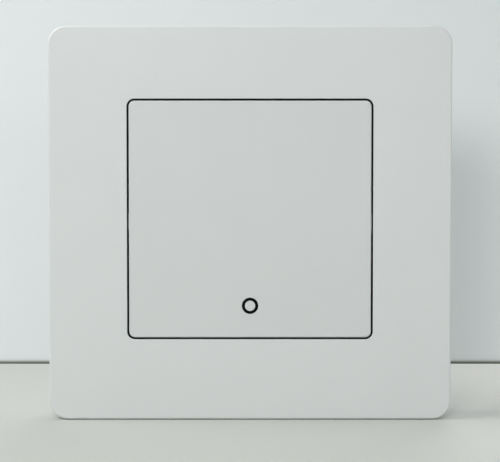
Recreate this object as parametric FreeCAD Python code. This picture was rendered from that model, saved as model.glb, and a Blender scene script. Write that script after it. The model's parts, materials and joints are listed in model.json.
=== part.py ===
# Wireless remote wall switch: a cover plate, one large push key and a battery transmitter behind it.
# Sizes are in millimetres. Each piece is drawn lying on its back, with x to the right, y up the wall and
# z out of the wall, whose surface is z = 0. Standing it up turns z to -Y and y to +Z.
import FreeCAD, Part
import math
import os

from FreeCAD import Vector

# Cover plate
PLATE_WIDTH = 88.0
PLATE_HEIGHT = 86.0
PLATE_CORNER = 4.0
PLATE_EDGE = 0.5
FACE_WALL = 2.0
SKIRT_WALL = 2.0
SKIRT_STANDOFF = 1.0
COLLAR_WALL = 1.2
COLLAR_DEPTH = 2.4
COVER_RIB_WALL = 1.0
COVER_RIB_OFFSET = 16.0
PRY_NOTCH_WIDTH = 8.0
PRY_NOTCH_HEIGHT = 1.6

# Opening for the key, a little above the middle of the plate
OPENING_WIDTH = 53.75
OPENING_HEIGHT = 52.55
OPENING_CORNER = 1.7
OPENING_EDGE = 0.15
OPENING_RISE = 0.88

# Catches on the cover plate's skirt and their windows in the base
CATCH_OFFSET = 24.0
CATCH_WIDTH = 8.0
CATCH_HEIGHT = 1.6
CATCH_GRIP = 0.6
CATCH_FIT = 0.15
CATCH_BRIDGE = 1.1

# Base housing
BASE_GAP = 0.3
BASE_FLOOR = 2.0
BASE_WALL = 1.6
BASE_WALL_HEIGHT = 3.6
BASE_EDGE = 0.4
BASE_RIB_WALL = 1.0
BASE_RIB_HEIGHT = 1.2
BASE_RIB_OFFSET = 12.0
LOCATING_WALL = 1.0
LOCATING_HEIGHT = 1.0
LOCATING_FIT = 0.2

# Screw slots for a standard wall box
MOUNT_SPACING = 60.3
SLOT_LENGTH = 8.0
SLOT_WIDTH = 4.2

# Adhesive pads, flush in pockets
PAD_LENGTH = 56.0
PAD_THICKNESS = 0.8
PAD_CORNER = 1.0
PAD_FIT = 0.25
PAD_INSET = 3.0
PAD_CLEARANCE = 3.01

# Case screws
SCREW_DIAMETER = 2.0
SCREW_LENGTH = 6.0
SCREW_TIP = 0.6
SCREW_HEAD_DIAMETER = 3.8
SCREW_HEAD_HEIGHT = 1.3
SCREW_HEAD_EDGE = 0.4
SCREW_SINK = 0.2
SCREW_CLEARANCE = 0.2
SCREW_FIT = 0.02
SCREW_INSET = 3.2
SCREW_END_ROOM = 0.6
DRIVE_LENGTH = 2.2
DRIVE_WIDTH = 0.5
DRIVE_DEPTH = 0.7
PILLAR_WALL = 1.2
BOSS_WALL = 1.5

# Circuit board
BOARD_STANDOFF = 1.6
BOARD_THICKNESS = 1.2
BOARD_GAP = 0.4
BOARD_CORNER = 1.0

# Inner frame
FRAME_GAP = 0.7
FRAME_WALL = 1.4
FRAME_CORNER = 1.0
DECK_THICKNESS = 1.2
DECK_CLEARANCE = 0.3
CELL_ACCESS = 1.2
TACT_ACCESS = 0.6
ACCESS_CORNER = 0.8

# Push key
KEY_GAP = 0.42
KEY_WALL = 2.0
KEY_EDGE = 0.3
KEY_SKIRT_WALL = 1.2
KEY_SKIRT_DEPTH = 2.4
KEY_HEADROOM = 0.9
POST_DIAMETER = 3.0
POST_GAP = 0.03

# Pivots at the key's upper corners
PIVOT_DROP = 4.0
PIVOT_PIN = 2.0
PIVOT_FIT = 0.05
PIVOT_GRIP = 1.1
PIVOT_WEB = 0.6
LUG_WIDTH = 5.0

# Hooks that stop the key's lower edge
HOOK_OFFSET = 12.0
HOOK_WIDTH = 5.0
HOOK_HEIGHT = 1.2
HOOK_GRIP = 0.6
HOOK_FIT = 0.06
HOOK_SIDE_ROOM = 0.4
HOOK_END_ROOM = 0.3

# Ring set into the key
RING_DIAMETER = 3.54
RING_BAND = 0.62
RING_DEPTH = 1.0
RING_FIT = 0.02
RING_SHARE = 0.1341
LIGHT_POCKET_DEPTH = 0.4
LIGHT_POCKET_MARGIN = 0.5

# Light behind the ring
LED_WIDTH = 3.2
LED_HEIGHT = 2.8
LED_THICKNESS = 1.0
LED_CORNER = 0.3
LED_CUP_DIAMETER = 2.2
LED_CUP_DEPTH = 0.3
GUIDE_DIAMETER = 3.4
GUIDE_FLANGE_DIAMETER = 5.0
GUIDE_FLANGE_HEIGHT = 0.8
GUIDE_PROUD = 0.1
GUIDE_GAP = 0.2
GUIDE_FIT = 0.05

# Push switch under the key
TACT_SHARE = 0.1545
TACT_SIZE = 6.2
TACT_CORNER = 0.4
TACT_FLOOR = 1.0
TACT_WELL_DEPTH = 2.3
TACT_WELL_DIAMETER = 4.8
TACT_SHEET = 0.2
TACT_EAR_WIDTH = 2.0
TACT_EAR_DEPTH = 1.4
TACT_TRAVEL = 0.35
PLUNGER_DIAMETER = 3.4
PLUNGER_PROUD = 1.5
PLUNGER_FIT = 0.1
PLUNGER_FLANGE = 0.6
PLUNGER_FLANGE_GAP = 0.2
PLUNGER_STOP_GAP = 0.05
PLUNGER_NUB = 1.6
DOME_DIAMETER = 4.2
DOME_RISE = 0.6
DOME_SHEET = 0.1
DOME_GAP = 0.02
TERMINAL_WIDTH = 0.8
TERMINAL_SPREAD = 4.0
TERMINAL_REACH = 0.5
TERMINAL_FOOT = 1.0

# Battery and its holder
CELL_DIAMETER = 20.0
CELL_THICKNESS = 3.2
CELL_CAP_DIAMETER = 17.2
CELL_STEP = 0.4
CELL_EDGE = 0.3
CELL_FIT = 0.2
HOLDER_SHARE = 0.2886
HOLDER_WALL = 1.6
HOLDER_FLOOR = 0.5
HOLDER_RIM = 2.4
HOLDER_CORNER = 1.0
HOLDER_NOTCH = 12.0
CLIP_STRIP = 0.3
CLIP_WIDTH = 5.0
CLIP_FIT = 0.1
CLIP_FOOT = 1.5
CONTACT_STRIP = 0.25
CONTACT_WIDTH = 4.0
TAIL_SHARE = 0.6
CONTACT_DIMPLE = 3.0
CONTACT_FIT = 0.1

# Transmitter
LANE_SPACING = 1.5
LANE_CLEARANCE = 0.63
CHIP_WIDTH = 3.9
CHIP_LENGTH = 4.9
CHIP_THICKNESS = 1.5
CHIP_CORNER = 0.15
CHIP_STANDOFF = 0.1
CHIP_LEADS = 4
CHIP_PITCH = 1.27
LEAD_WIDTH = 0.4
LEAD_SHEET = 0.2
LEAD_RUN = 0.4
LEAD_FOOT = 0.6
CRYSTAL_WIDTH = 3.2
CRYSTAL_LENGTH = 5.0
CRYSTAL_BASE = 0.6
CRYSTAL_LID = 0.5
CRYSTAL_LID_INSET = 0.25
CRYSTAL_CORNER = 0.4
COIL_DIAMETER = 3.0
COIL_WIRE = 0.5
COIL_PITCH = 1.4
COIL_TURNS = 9
COIL_TAIL = 1.2
SMALL_PART_LENGTH = 2.0
SMALL_PART_WIDTH = 1.25
SMALL_PART_HEIGHT = 0.8
SMALL_PART_CAP = 0.4
SMALL_PART_CAP_STEP = 0.05
SMALL_PART_SPACING = 1.0
SMALL_PARTS = 3

# Smallest corner left where a wall is as thick as the corner around it, and how far a cutter passes a face
LEAST_CORNER = 0.3
PASS = 1.0

# Levels above the wall, from the back to the front
BASE_RIM = BASE_FLOOR + BASE_WALL_HEIGHT
BOARD_BACK = BASE_FLOOR + BOARD_STANDOFF
BOARD_FRONT = BOARD_BACK + BOARD_THICKNESS
CELL_BACK = BOARD_FRONT + HOLDER_FLOOR
CELL_FRONT = CELL_BACK + CELL_THICKNESS
DECK_BACK = CELL_FRONT + CLIP_STRIP + DECK_CLEARANCE
DECK_FRONT = DECK_BACK + DECK_THICKNESS
KEY_BACK = DECK_FRONT + KEY_HEADROOM
FACE_LEVEL = KEY_BACK + KEY_WALL
FACE_BACK = FACE_LEVEL - FACE_WALL
SKIRT_BACK = KEY_BACK - KEY_SKIRT_DEPTH
PIVOT_LEVEL = DECK_BACK - PIVOT_WEB - PIVOT_FIT - PIVOT_PIN / 2
CATCH_LEVEL = BASE_RIM - CATCH_BRIDGE - CATCH_FIT
HEAD_FRONT = SCREW_SINK + SCREW_HEAD_HEIGHT
SCREW_FRONT = HEAD_FRONT + SCREW_LENGTH
TACT_FLOOR_LEVEL = BOARD_FRONT + TACT_FLOOR
TACT_BODY_FRONT = TACT_FLOOR_LEVEL + TACT_WELL_DEPTH
PLUNGER_FRONT = TACT_BODY_FRONT + TACT_SHEET + PLUNGER_PROUD

# Outlines that follow one another inwards
INSIDE_WIDTH = PLATE_WIDTH - 2 * SKIRT_WALL
INSIDE_HEIGHT = PLATE_HEIGHT - 2 * SKIRT_WALL
BASE_WIDTH = INSIDE_WIDTH - 2 * BASE_GAP
BASE_HEIGHT = INSIDE_HEIGHT - 2 * BASE_GAP
KEY_WIDTH = OPENING_WIDTH - 2 * KEY_GAP
KEY_HEIGHT = OPENING_HEIGHT - 2 * KEY_GAP
FRAME_WIDTH = KEY_WIDTH - 2 * (KEY_SKIRT_WALL + FRAME_GAP)
FRAME_HEIGHT = KEY_HEIGHT - 2 * (KEY_SKIRT_WALL + FRAME_GAP)
ROOM_WIDTH = FRAME_WIDTH - 2 * FRAME_WALL
ROOM_HEIGHT = FRAME_HEIGHT - 2 * FRAME_WALL
BOARD_WIDTH = ROOM_WIDTH - 2 * BOARD_GAP
BOARD_HEIGHT = ROOM_HEIGHT - 2 * BOARD_GAP
HOLDER_SIZE = CELL_DIAMETER + 2 * (CELL_FIT + HOLDER_WALL)
HEAD_HOLE = SCREW_HEAD_DIAMETER + 2 * SCREW_CLEARANCE
BOSS_DIAMETER = SCREW_DIAMETER + 2 * BOSS_WALL
PLUNGER_FLANGE_DIAMETER = TACT_WELL_DIAMETER - 2 * PLUNGER_FLANGE_GAP

# Places on the wall
KEY_CENTRE = (0.0, OPENING_RISE)
KEY_BOTTOM = OPENING_RISE - KEY_HEIGHT / 2
PIVOT_Y = OPENING_RISE + KEY_HEIGHT / 2 - PIVOT_DROP
RING_CENTRE = (0.0, KEY_BOTTOM + RING_SHARE * KEY_HEIGHT)
TACT_CENTRE = (0.0, RING_CENTRE[1] + TACT_SHARE * KEY_HEIGHT)
TACT_TOP = TACT_CENTRE[1] + TACT_SIZE / 2
ROOM_TOP = OPENING_RISE + ROOM_HEIGHT / 2
HOLDER_SPACING = HOLDER_SHARE * (ROOM_TOP - TACT_TOP - HOLDER_SIZE)
CELL_CENTRE = (0.0, TACT_TOP + HOLDER_SPACING + HOLDER_SIZE / 2)
CONTACT_TAIL = TAIL_SHARE * HOLDER_SPACING
SCREW_ACROSS = BOARD_WIDTH / 2 - SCREW_INSET
SCREW_UP = BOARD_HEIGHT / 2 - SCREW_INSET
PAD_OUTER = BASE_HEIGHT / 2 - PAD_INSET
PAD_INNER = OPENING_RISE + SCREW_UP + HEAD_HOLE / 2 + PAD_CLEARANCE
PAD_HEIGHT = PAD_OUTER - PAD_INNER
PAD_Y = (PAD_OUTER + PAD_INNER) / 2
CLIP_EDGE = HOLDER_SIZE / 2 + CLIP_FIT + CLIP_STRIP
LANE_X = (CLIP_EDGE + CLIP_FOOT + BOARD_WIDTH / 2) / 2
LANE_TOP = OPENING_RISE + SCREW_UP - BOSS_DIAMETER / 2 - LANE_CLEARANCE

# How far the key's lower hooks go in when the push switch is pressed home
HOOK_TRAVEL = TACT_TRAVEL * (PIVOT_Y - KEY_BOTTOM) / (PIVOT_Y - TACT_CENTRE[1])


def outline(width, height, corner, level, centre):
    """A rectangle with rounded corners at one level."""
    corners = ((1, 1, 0), (-1, 1, 90), (-1, -1, 180), (1, -1, 270))
    arcs = []
    for across, up, start in corners:
        hub = Vector(
            centre[0] + across * (width / 2 - corner),
            centre[1] + up * (height / 2 - corner),
            level,
        )
        turns = [math.radians(start + turn) for turn in (0, 45, 90)]
        arcs.append([hub + Vector(corner * math.cos(t), corner * math.sin(t), 0) for t in turns])
    edges = []
    for arc, following in zip(arcs, arcs[1:] + arcs[:1]):
        edges.append(Part.Arc(*arc).toShape())
        edges.append(Part.LineSegment(arc[2], following[0]).toShape())
    return Part.Wire(edges)


def slab(width, height, corner, back, front, centre=(0.0, 0.0)):
    """A plate with rounded corners between two levels."""
    face = Part.Face(outline(width, height, corner, back, centre))
    return face.extrude(Vector(0, 0, front - back))


def block(width, height, back, front, centre=(0.0, 0.0)):
    """A plain box between two levels."""
    low = Vector(centre[0] - width / 2, centre[1] - height / 2, back)
    return Part.makeBox(width, height, front - back, low)


def rod(diameter, back, front, centre=(0.0, 0.0)):
    """A round bar that points out of the wall."""
    return Part.makeCylinder(diameter / 2, front - back, Vector(centre[0], centre[1], back))


def cross_rod(diameter, start, end, y, level):
    """A round bar that lies along x."""
    low = min(start, end)
    return Part.makeCylinder(diameter / 2, abs(end - start), Vector(low, y, level), Vector(1, 0, 0))


def slot(length, width, back, front, centre):
    """A bar with round ends that lies along x."""
    run = length - width
    ends = [rod(width, back, front, (centre[0] + side * run / 2, centre[1])) for side in (-1, 1)]
    return joined(block(run, width, back, front, centre), *ends)


def joined(first, *others):
    """One solid from pieces that meet."""
    return first.fuse(list(others)).removeSplitter()


def edges_at(shape, level, width=PLATE_WIDTH, height=PLATE_HEIGHT, centre=(0.0, 0.0)):
    """The edges that lie at one level and wholly within a rectangle."""
    near = 0.01
    found = []
    for edge in shape.Edges:
        box = edge.BoundBox
        flat = abs(box.ZMin - level) < near and abs(box.ZMax - level) < near
        across = max(abs(box.XMin - centre[0]), abs(box.XMax - centre[0])) < width / 2 + near
        up = max(abs(box.YMin - centre[1]), abs(box.YMax - centre[1])) < height / 2 + near
        if flat and across and up:
            found.append(edge)
    return found


def inner_corner(corner, wall):
    """The corner inside a wall that follows a rounded corner."""
    return max(corner - wall, LEAST_CORNER)


def screw_places():
    """Where the case screws stand: near the board's corners."""
    sides = (-1, 1)
    return [(x * SCREW_ACROSS, OPENING_RISE + y * SCREW_UP) for x in sides for y in sides]


def catch(side, x):
    """A wedge inside the skirt's upper or lower wall, flat side to the front."""
    root = side * INSIDE_HEIGHT / 2
    tip = root - side * (BASE_GAP + CATCH_GRIP)
    start = x - CATCH_WIDTH / 2
    points = [
        Vector(start, root, CATCH_LEVEL),
        Vector(start, tip, CATCH_LEVEL),
        Vector(start, root, CATCH_LEVEL - CATCH_HEIGHT),
    ]
    profile = Part.Face(Part.makePolygon(points + points[:1]))
    return profile.extrude(Vector(CATCH_WIDTH, 0, 0))


def catch_window(side, x):
    """The hole in the base's wall that a catch snaps into."""
    back = CATCH_LEVEL - CATCH_HEIGHT - CATCH_FIT
    wall_middle = side * (BASE_HEIGHT - BASE_WALL) / 2
    width = CATCH_WIDTH + 2 * CATCH_FIT
    return block(width, BASE_WALL + 2 * CATCH_FIT, back, CATCH_LEVEL + CATCH_FIT, (x, wall_middle))


def bars(width, height, wall, offset, back, front):
    """Two bars each way across a rectangle, at one distance from its middle lines."""
    found = []
    for side in (-1, 1):
        found.append(block(width, wall, back, front, (0.0, OPENING_RISE + side * offset)))
        found.append(block(wall, height, back, front, (side * offset, 0.0)))
    return found


def cover_plate():
    shell = slab(PLATE_WIDTH, PLATE_HEIGHT, PLATE_CORNER, SKIRT_STANDOFF, FACE_LEVEL)
    shell = shell.makeFillet(PLATE_EDGE, edges_at(shell, FACE_LEVEL))
    corner = inner_corner(PLATE_CORNER, SKIRT_WALL)
    shell = shell.cut(slab(INSIDE_WIDTH, INSIDE_HEIGHT, corner, SKIRT_STANDOFF - PASS, FACE_BACK))
    collar_back = FACE_BACK - COLLAR_DEPTH
    collar = slab(
        OPENING_WIDTH + 2 * COLLAR_WALL,
        OPENING_HEIGHT + 2 * COLLAR_WALL,
        OPENING_CORNER + COLLAR_WALL,
        collar_back,
        FACE_BACK,
        KEY_CENTRE,
    )
    ribs = bars(INSIDE_WIDTH, INSIDE_HEIGHT, COVER_RIB_WALL, COVER_RIB_OFFSET, collar_back, FACE_BACK)
    catches = [catch(side, x) for side in (-1, 1) for x in (-CATCH_OFFSET, CATCH_OFFSET)]
    plate = joined(shell, collar, *ribs, *catches)
    opening = slab(
        OPENING_WIDTH, OPENING_HEIGHT, OPENING_CORNER, collar_back - PASS, FACE_LEVEL + PASS, KEY_CENTRE
    )
    notch_front = SKIRT_STANDOFF + PRY_NOTCH_HEIGHT
    notch_place = (0.0, (SKIRT_WALL - PLATE_HEIGHT) / 2)
    notch = block(PRY_NOTCH_WIDTH, SKIRT_WALL + PASS, SKIRT_STANDOFF - PASS, notch_front, notch_place)
    plate = plate.cut(opening).cut(notch)
    rim = edges_at(plate, FACE_LEVEL, OPENING_WIDTH, OPENING_HEIGHT, KEY_CENTRE)
    return plate.makeFillet(OPENING_EDGE, rim)


def base_housing():
    corner = inner_corner(PLATE_CORNER, SKIRT_WALL + BASE_GAP)
    room_width = BASE_WIDTH - 2 * BASE_WALL
    room_height = BASE_HEIGHT - 2 * BASE_WALL
    room_corner = inner_corner(corner, BASE_WALL)
    tray = slab(BASE_WIDTH, BASE_HEIGHT, corner, 0.0, BASE_RIM)
    tray = tray.makeFillet(BASE_EDGE, edges_at(tray, 0.0))
    tray = tray.cut(slab(room_width, room_height, room_corner, BASE_FLOOR, BASE_RIM + PASS))
    seat_width = FRAME_WIDTH + 2 * LOCATING_FIT
    seat_height = FRAME_HEIGHT + 2 * LOCATING_FIT
    seat_corner = FRAME_CORNER + LOCATING_FIT
    ring = slab(
        seat_width + 2 * LOCATING_WALL,
        seat_height + 2 * LOCATING_WALL,
        seat_corner + LOCATING_WALL,
        BASE_FLOOR,
        BASE_FLOOR + LOCATING_HEIGHT,
        KEY_CENTRE,
    )
    rib_front = BASE_FLOOR + BASE_RIB_HEIGHT
    ribs = bars(room_width, room_height, BASE_RIB_WALL, BASE_RIB_OFFSET, BASE_FLOOR, rib_front)
    tray = joined(tray, ring, *ribs)
    tray = tray.cut(slab(seat_width, seat_height, seat_corner, BASE_FLOOR, BASE_RIM, KEY_CENTRE))
    pillar = HEAD_HOLE + 2 * PILLAR_WALL
    tray = joined(tray, *[rod(pillar, BASE_FLOOR, BOARD_BACK, place) for place in screw_places()])
    holes = []
    for place in screw_places():
        holes.append(rod(SCREW_DIAMETER + 2 * SCREW_CLEARANCE, -PASS, BOARD_BACK + PASS, place))
        holes.append(rod(HEAD_HOLE, -PASS, HEAD_FRONT, place))
    for side in (-1, 1):
        holes.append(
            slot(SLOT_LENGTH, SLOT_WIDTH, -PASS, BASE_FLOOR + PASS, (side * MOUNT_SPACING / 2, 0.0))
        )
        holes.append(adhesive_pad(side, PAD_FIT, PASS))
        holes.extend(catch_window(side, x) for x in (-CATCH_OFFSET, CATCH_OFFSET))
    return tray.cut(holes)


def adhesive_pad(side, fit=0.0, passing=0.0):
    """A foam pad near the base's upper or lower edge; with a fit and a pass, its pocket."""
    return slab(
        PAD_LENGTH + 2 * fit,
        PAD_HEIGHT + 2 * fit,
        PAD_CORNER + fit,
        -passing,
        PAD_THICKNESS,
        (0.0, side * PAD_Y),
    )


def case_screws():
    return Part.makeCompound([case_screw(place) for place in screw_places()])


def case_screw(place):
    head = rod(SCREW_HEAD_DIAMETER, SCREW_SINK, HEAD_FRONT, place)
    head = head.makeFillet(SCREW_HEAD_EDGE, edges_at(head, SCREW_SINK))
    shank = rod(SCREW_DIAMETER, HEAD_FRONT, SCREW_FRONT, place)
    shank = shank.makeChamfer(SCREW_TIP, edges_at(shank, SCREW_FRONT))
    drive_front = SCREW_SINK + DRIVE_DEPTH
    cross = [
        block(DRIVE_LENGTH, DRIVE_WIDTH, SCREW_SINK - PASS, drive_front, place),
        block(DRIVE_WIDTH, DRIVE_LENGTH, SCREW_SINK - PASS, drive_front, place),
    ]
    return joined(head, shank).cut(cross)


def circuit_board():
    board = slab(BOARD_WIDTH, BOARD_HEIGHT, BOARD_CORNER, BOARD_BACK, BOARD_FRONT, KEY_CENTRE)
    hole = SCREW_DIAMETER + 2 * SCREW_CLEARANCE
    return board.cut([rod(hole, BOARD_BACK - PASS, BOARD_FRONT + PASS, place) for place in screw_places()])


def inner_frame():
    frame = slab(FRAME_WIDTH, FRAME_HEIGHT, FRAME_CORNER, BASE_FLOOR, DECK_FRONT, KEY_CENTRE)
    corner = inner_corner(FRAME_CORNER, FRAME_WALL)
    frame = frame.cut(slab(ROOM_WIDTH, ROOM_HEIGHT, corner, BASE_FLOOR - PASS, DECK_BACK, KEY_CENTRE))
    bosses = [rod(BOSS_DIAMETER, BOARD_FRONT, DECK_BACK, place) for place in screw_places()]
    frame = joined(frame, *bosses)
    bore = SCREW_DIAMETER + 2 * SCREW_FIT
    bore_front = SCREW_FRONT + SCREW_END_ROOM
    holes = [rod(bore, BOARD_FRONT - PASS, bore_front, place) for place in screw_places()]
    deck = (DECK_BACK - PASS, DECK_FRONT + PASS)
    tact_hole = TACT_SIZE + 2 * TACT_ACCESS
    holes.append(rod(CELL_DIAMETER + 2 * CELL_ACCESS, *deck, CELL_CENTRE))
    holes.append(slab(tact_hole, tact_hole, ACCESS_CORNER, *deck, TACT_CENTRE))
    holes.append(rod(GUIDE_DIAMETER + 2 * GUIDE_FIT, *deck, RING_CENTRE))
    for side in (-1, 1):
        outside = side * (FRAME_WIDTH / 2 + PASS)
        inside = side * (FRAME_WIDTH / 2 - max(FRAME_WALL, PIVOT_GRIP + PIVOT_FIT))
        holes.append(cross_rod(PIVOT_PIN + 2 * PIVOT_FIT, inside, outside, PIVOT_Y, PIVOT_LEVEL))
        holes.append(hook_window(side * HOOK_OFFSET))
    return frame.cut(holes)


def hook_window(x):
    """The hole in the frame's lower wall that one of the key's hooks moves in."""
    back = PIVOT_LEVEL - HOOK_HEIGHT - HOOK_TRAVEL - HOOK_END_ROOM
    wall_middle = OPENING_RISE - (FRAME_HEIGHT - FRAME_WALL) / 2
    width = HOOK_WIDTH + 2 * HOOK_SIDE_ROOM
    return block(width, FRAME_WALL + HOOK_FIT, back, PIVOT_LEVEL + HOOK_FIT, (x, wall_middle))


def push_key():
    key = slab(KEY_WIDTH, KEY_HEIGHT, OPENING_CORNER - KEY_GAP, SKIRT_BACK, FACE_LEVEL, KEY_CENTRE)
    key = key.makeFillet(KEY_EDGE, edges_at(key, FACE_LEVEL))
    inside_width = KEY_WIDTH - 2 * KEY_SKIRT_WALL
    inside_height = KEY_HEIGHT - 2 * KEY_SKIRT_WALL
    corner = inner_corner(OPENING_CORNER - KEY_GAP, KEY_SKIRT_WALL)
    key = key.cut(slab(inside_width, inside_height, corner, SKIRT_BACK - PASS, KEY_BACK, KEY_CENTRE))
    pieces = [rod(POST_DIAMETER, PLUNGER_FRONT + POST_GAP, KEY_BACK, TACT_CENTRE)]
    for side in (-1, 1):
        pieces.extend(pivot_lug(side))
        pieces.extend(key_hook(side * HOOK_OFFSET))
    key = joined(key, *pieces)
    groove = ring_band(RING_FIT, PASS)
    pocket_width = RING_DIAMETER + 2 * LIGHT_POCKET_MARGIN
    pocket = rod(pocket_width, KEY_BACK, KEY_BACK + LIGHT_POCKET_DEPTH, RING_CENTRE)
    return key.cut([groove, pocket])


def pivot_lug(side):
    """A round-ended tab below the key's side skirt, with a pin that points inwards."""
    outside = side * KEY_WIDTH / 2
    inside = outside - side * KEY_SKIRT_WALL
    pin_end = side * (FRAME_WIDTH / 2 - PIVOT_GRIP)
    return [
        block(KEY_SKIRT_WALL, LUG_WIDTH, PIVOT_LEVEL, KEY_BACK, ((outside + inside) / 2, PIVOT_Y)),
        cross_rod(LUG_WIDTH, outside, inside, PIVOT_Y, PIVOT_LEVEL),
        cross_rod(PIVOT_PIN, outside, pin_end, PIVOT_Y, PIVOT_LEVEL),
    ]


def key_hook(x):
    """A tab below the key's lower skirt, with a ledge that reaches into the frame's wall."""
    back = PIVOT_LEVEL - HOOK_HEIGHT
    reach = KEY_SKIRT_WALL + FRAME_GAP + HOOK_GRIP
    return [
        block(HOOK_WIDTH, KEY_SKIRT_WALL, back, KEY_BACK, (x, KEY_BOTTOM + KEY_SKIRT_WALL / 2)),
        block(HOOK_WIDTH, reach, back, PIVOT_LEVEL, (x, KEY_BOTTOM + reach / 2)),
    ]


def ring_band(fit=0.0, passing=0.0):
    """The ring in the key's face; with a fit and a pass, the groove that it sits in."""
    back = FACE_LEVEL - RING_DEPTH
    front = FACE_LEVEL + passing
    outer = rod(RING_DIAMETER + 2 * fit, back, front, RING_CENTRE)
    return outer.cut(rod(RING_DIAMETER - 2 * RING_BAND - 2 * fit, back, front, RING_CENTRE))


def status_led():
    front = BOARD_FRONT + LED_THICKNESS
    body = slab(LED_WIDTH, LED_HEIGHT, LED_CORNER, BOARD_FRONT, front, RING_CENTRE)
    return body.cut(rod(LED_CUP_DIAMETER, front - LED_CUP_DEPTH, front + PASS, RING_CENTRE))


def light_guide():
    back = BOARD_FRONT + LED_THICKNESS + GUIDE_GAP
    stem = rod(GUIDE_DIAMETER, back, DECK_FRONT + GUIDE_PROUD, RING_CENTRE)
    flange = rod(GUIDE_FLANGE_DIAMETER, DECK_BACK - GUIDE_FLANGE_HEIGHT, DECK_BACK, RING_CENTRE)
    return joined(stem, flange)


def tact_terminal(side):
    """A strip through the push switch's floor, bent down to the board at both ends."""
    y = TACT_CENTRE[1] + side * TERMINAL_SPREAD / 2
    reach = TACT_SIZE / 2 + TERMINAL_REACH
    run_back = TACT_FLOOR_LEVEL - TACT_SHEET
    run = block(2 * reach, TERMINAL_WIDTH, run_back, TACT_FLOOR_LEVEL, (0.0, y))
    ends = []
    for end in (-1, 1):
        leg = end * (reach - TACT_SHEET / 2)
        foot = end * (reach + TERMINAL_FOOT / 2)
        ends.append(block(TACT_SHEET, TERMINAL_WIDTH, BOARD_FRONT, TACT_FLOOR_LEVEL, (leg, y)))
        ends.append(block(TERMINAL_FOOT, TERMINAL_WIDTH, BOARD_FRONT, BOARD_FRONT + TACT_SHEET, (foot, y)))
    return joined(run, *ends)


def tact_body():
    body = slab(TACT_SIZE, TACT_SIZE, TACT_CORNER, BOARD_FRONT, TACT_BODY_FRONT, TACT_CENTRE)
    well = rod(TACT_WELL_DIAMETER, TACT_FLOOR_LEVEL, TACT_BODY_FRONT + PASS, TACT_CENTRE)
    return body.cut([well, tact_terminal(-1), tact_terminal(1)])


def tact_cover():
    front = TACT_BODY_FRONT + TACT_SHEET
    plate = slab(TACT_SIZE, TACT_SIZE, TACT_CORNER, TACT_BODY_FRONT, front, TACT_CENTRE)
    ears = []
    for side in (-1, 1):
        y = TACT_CENTRE[1] + side * (TACT_SIZE + TACT_SHEET) / 2
        ears.append(block(TACT_EAR_WIDTH, TACT_SHEET, TACT_BODY_FRONT - TACT_EAR_DEPTH, front, (0.0, y)))
    hole = rod(PLUNGER_DIAMETER + 2 * PLUNGER_FIT, TACT_BODY_FRONT - PASS, front + PASS, TACT_CENTRE)
    return joined(plate, *ears).cut(hole)


def tact_dome():
    """A springy metal cap over the contacts."""
    base = DOME_DIAMETER / 2
    radius = (base ** 2 + DOME_RISE ** 2) / (2 * DOME_RISE)
    hub = Vector(*TACT_CENTRE, TACT_FLOOR_LEVEL + DOME_RISE - radius)
    shell = Part.makeSphere(radius, hub).cut(Part.makeSphere(radius - DOME_SHEET, hub))
    size = 2 * radius
    return shell.common(block(size, size, TACT_FLOOR_LEVEL, TACT_FLOOR_LEVEL + size, TACT_CENTRE))


def tact_plunger():
    flange_front = TACT_BODY_FRONT - PLUNGER_STOP_GAP
    flange_back = flange_front - PLUNGER_FLANGE
    nub_back = TACT_FLOOR_LEVEL + DOME_RISE + DOME_GAP
    return joined(
        rod(PLUNGER_DIAMETER, flange_back, PLUNGER_FRONT, TACT_CENTRE),
        rod(PLUNGER_FLANGE_DIAMETER, flange_back, flange_front, TACT_CENTRE),
        rod(PLUNGER_NUB, nub_back, flange_back, TACT_CENTRE),
    )


def coin_cell():
    can = rod(CELL_DIAMETER, CELL_BACK + CELL_STEP, CELL_FRONT, CELL_CENTRE)
    can = can.makeFillet(CELL_EDGE, edges_at(can, CELL_FRONT))
    return joined(can, rod(CELL_CAP_DIAMETER, CELL_BACK, CELL_BACK + CELL_STEP, CELL_CENTRE))


def battery_holder():
    front = CELL_BACK + HOLDER_RIM
    holder = slab(HOLDER_SIZE, HOLDER_SIZE, HOLDER_CORNER, BOARD_FRONT, front, CELL_CENTRE)
    pocket = rod(CELL_DIAMETER + 2 * CELL_FIT, CELL_BACK, front + PASS, CELL_CENTRE)
    notch_place = (CELL_CENTRE[0], CELL_CENTRE[1] + HOLDER_SIZE / 2)
    notch = block(HOLDER_NOTCH, CELL_DIAMETER / 2, CELL_BACK, front + PASS, notch_place)
    return holder.cut([pocket, notch, *contact_shapes(CONTACT_FIT, PASS)])


def battery_contact():
    return joined(*contact_shapes())


def contact_shapes(fit=0.0, passing=0.0):
    """The strip and the dimple under the cell; with a fit and a pass, the channel for them."""
    length = HOLDER_SIZE / 2 + CONTACT_TAIL + CONTACT_DIMPLE / 2
    middle = CELL_CENTRE[1] + CONTACT_DIMPLE / 2 - length / 2
    strip_front = BOARD_FRONT + CONTACT_STRIP
    return [
        block(
            CONTACT_WIDTH + 2 * fit,
            length + 2 * fit,
            BOARD_FRONT - passing,
            strip_front + fit,
            (CELL_CENTRE[0], middle),
        ),
        rod(CONTACT_DIMPLE + 2 * fit, BOARD_FRONT - passing, CELL_BACK + passing, CELL_CENTRE),
    ]


def battery_clip():
    clip_front = CELL_FRONT + CLIP_STRIP
    pieces = []
    for side in (-1, 1):
        leg = (side * (CLIP_EDGE - CLIP_STRIP / 2), CELL_CENTRE[1])
        foot = (side * (CLIP_EDGE + CLIP_FOOT / 2), CELL_CENTRE[1])
        pieces.append(block(CLIP_STRIP, CLIP_WIDTH, BOARD_FRONT, clip_front, leg))
        pieces.append(block(CLIP_FOOT, CLIP_WIDTH, BOARD_FRONT, BOARD_FRONT + CLIP_STRIP, foot))
    return joined(block(2 * CLIP_EDGE, CLIP_WIDTH, CELL_FRONT, clip_front, CELL_CENTRE), *pieces)


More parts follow.
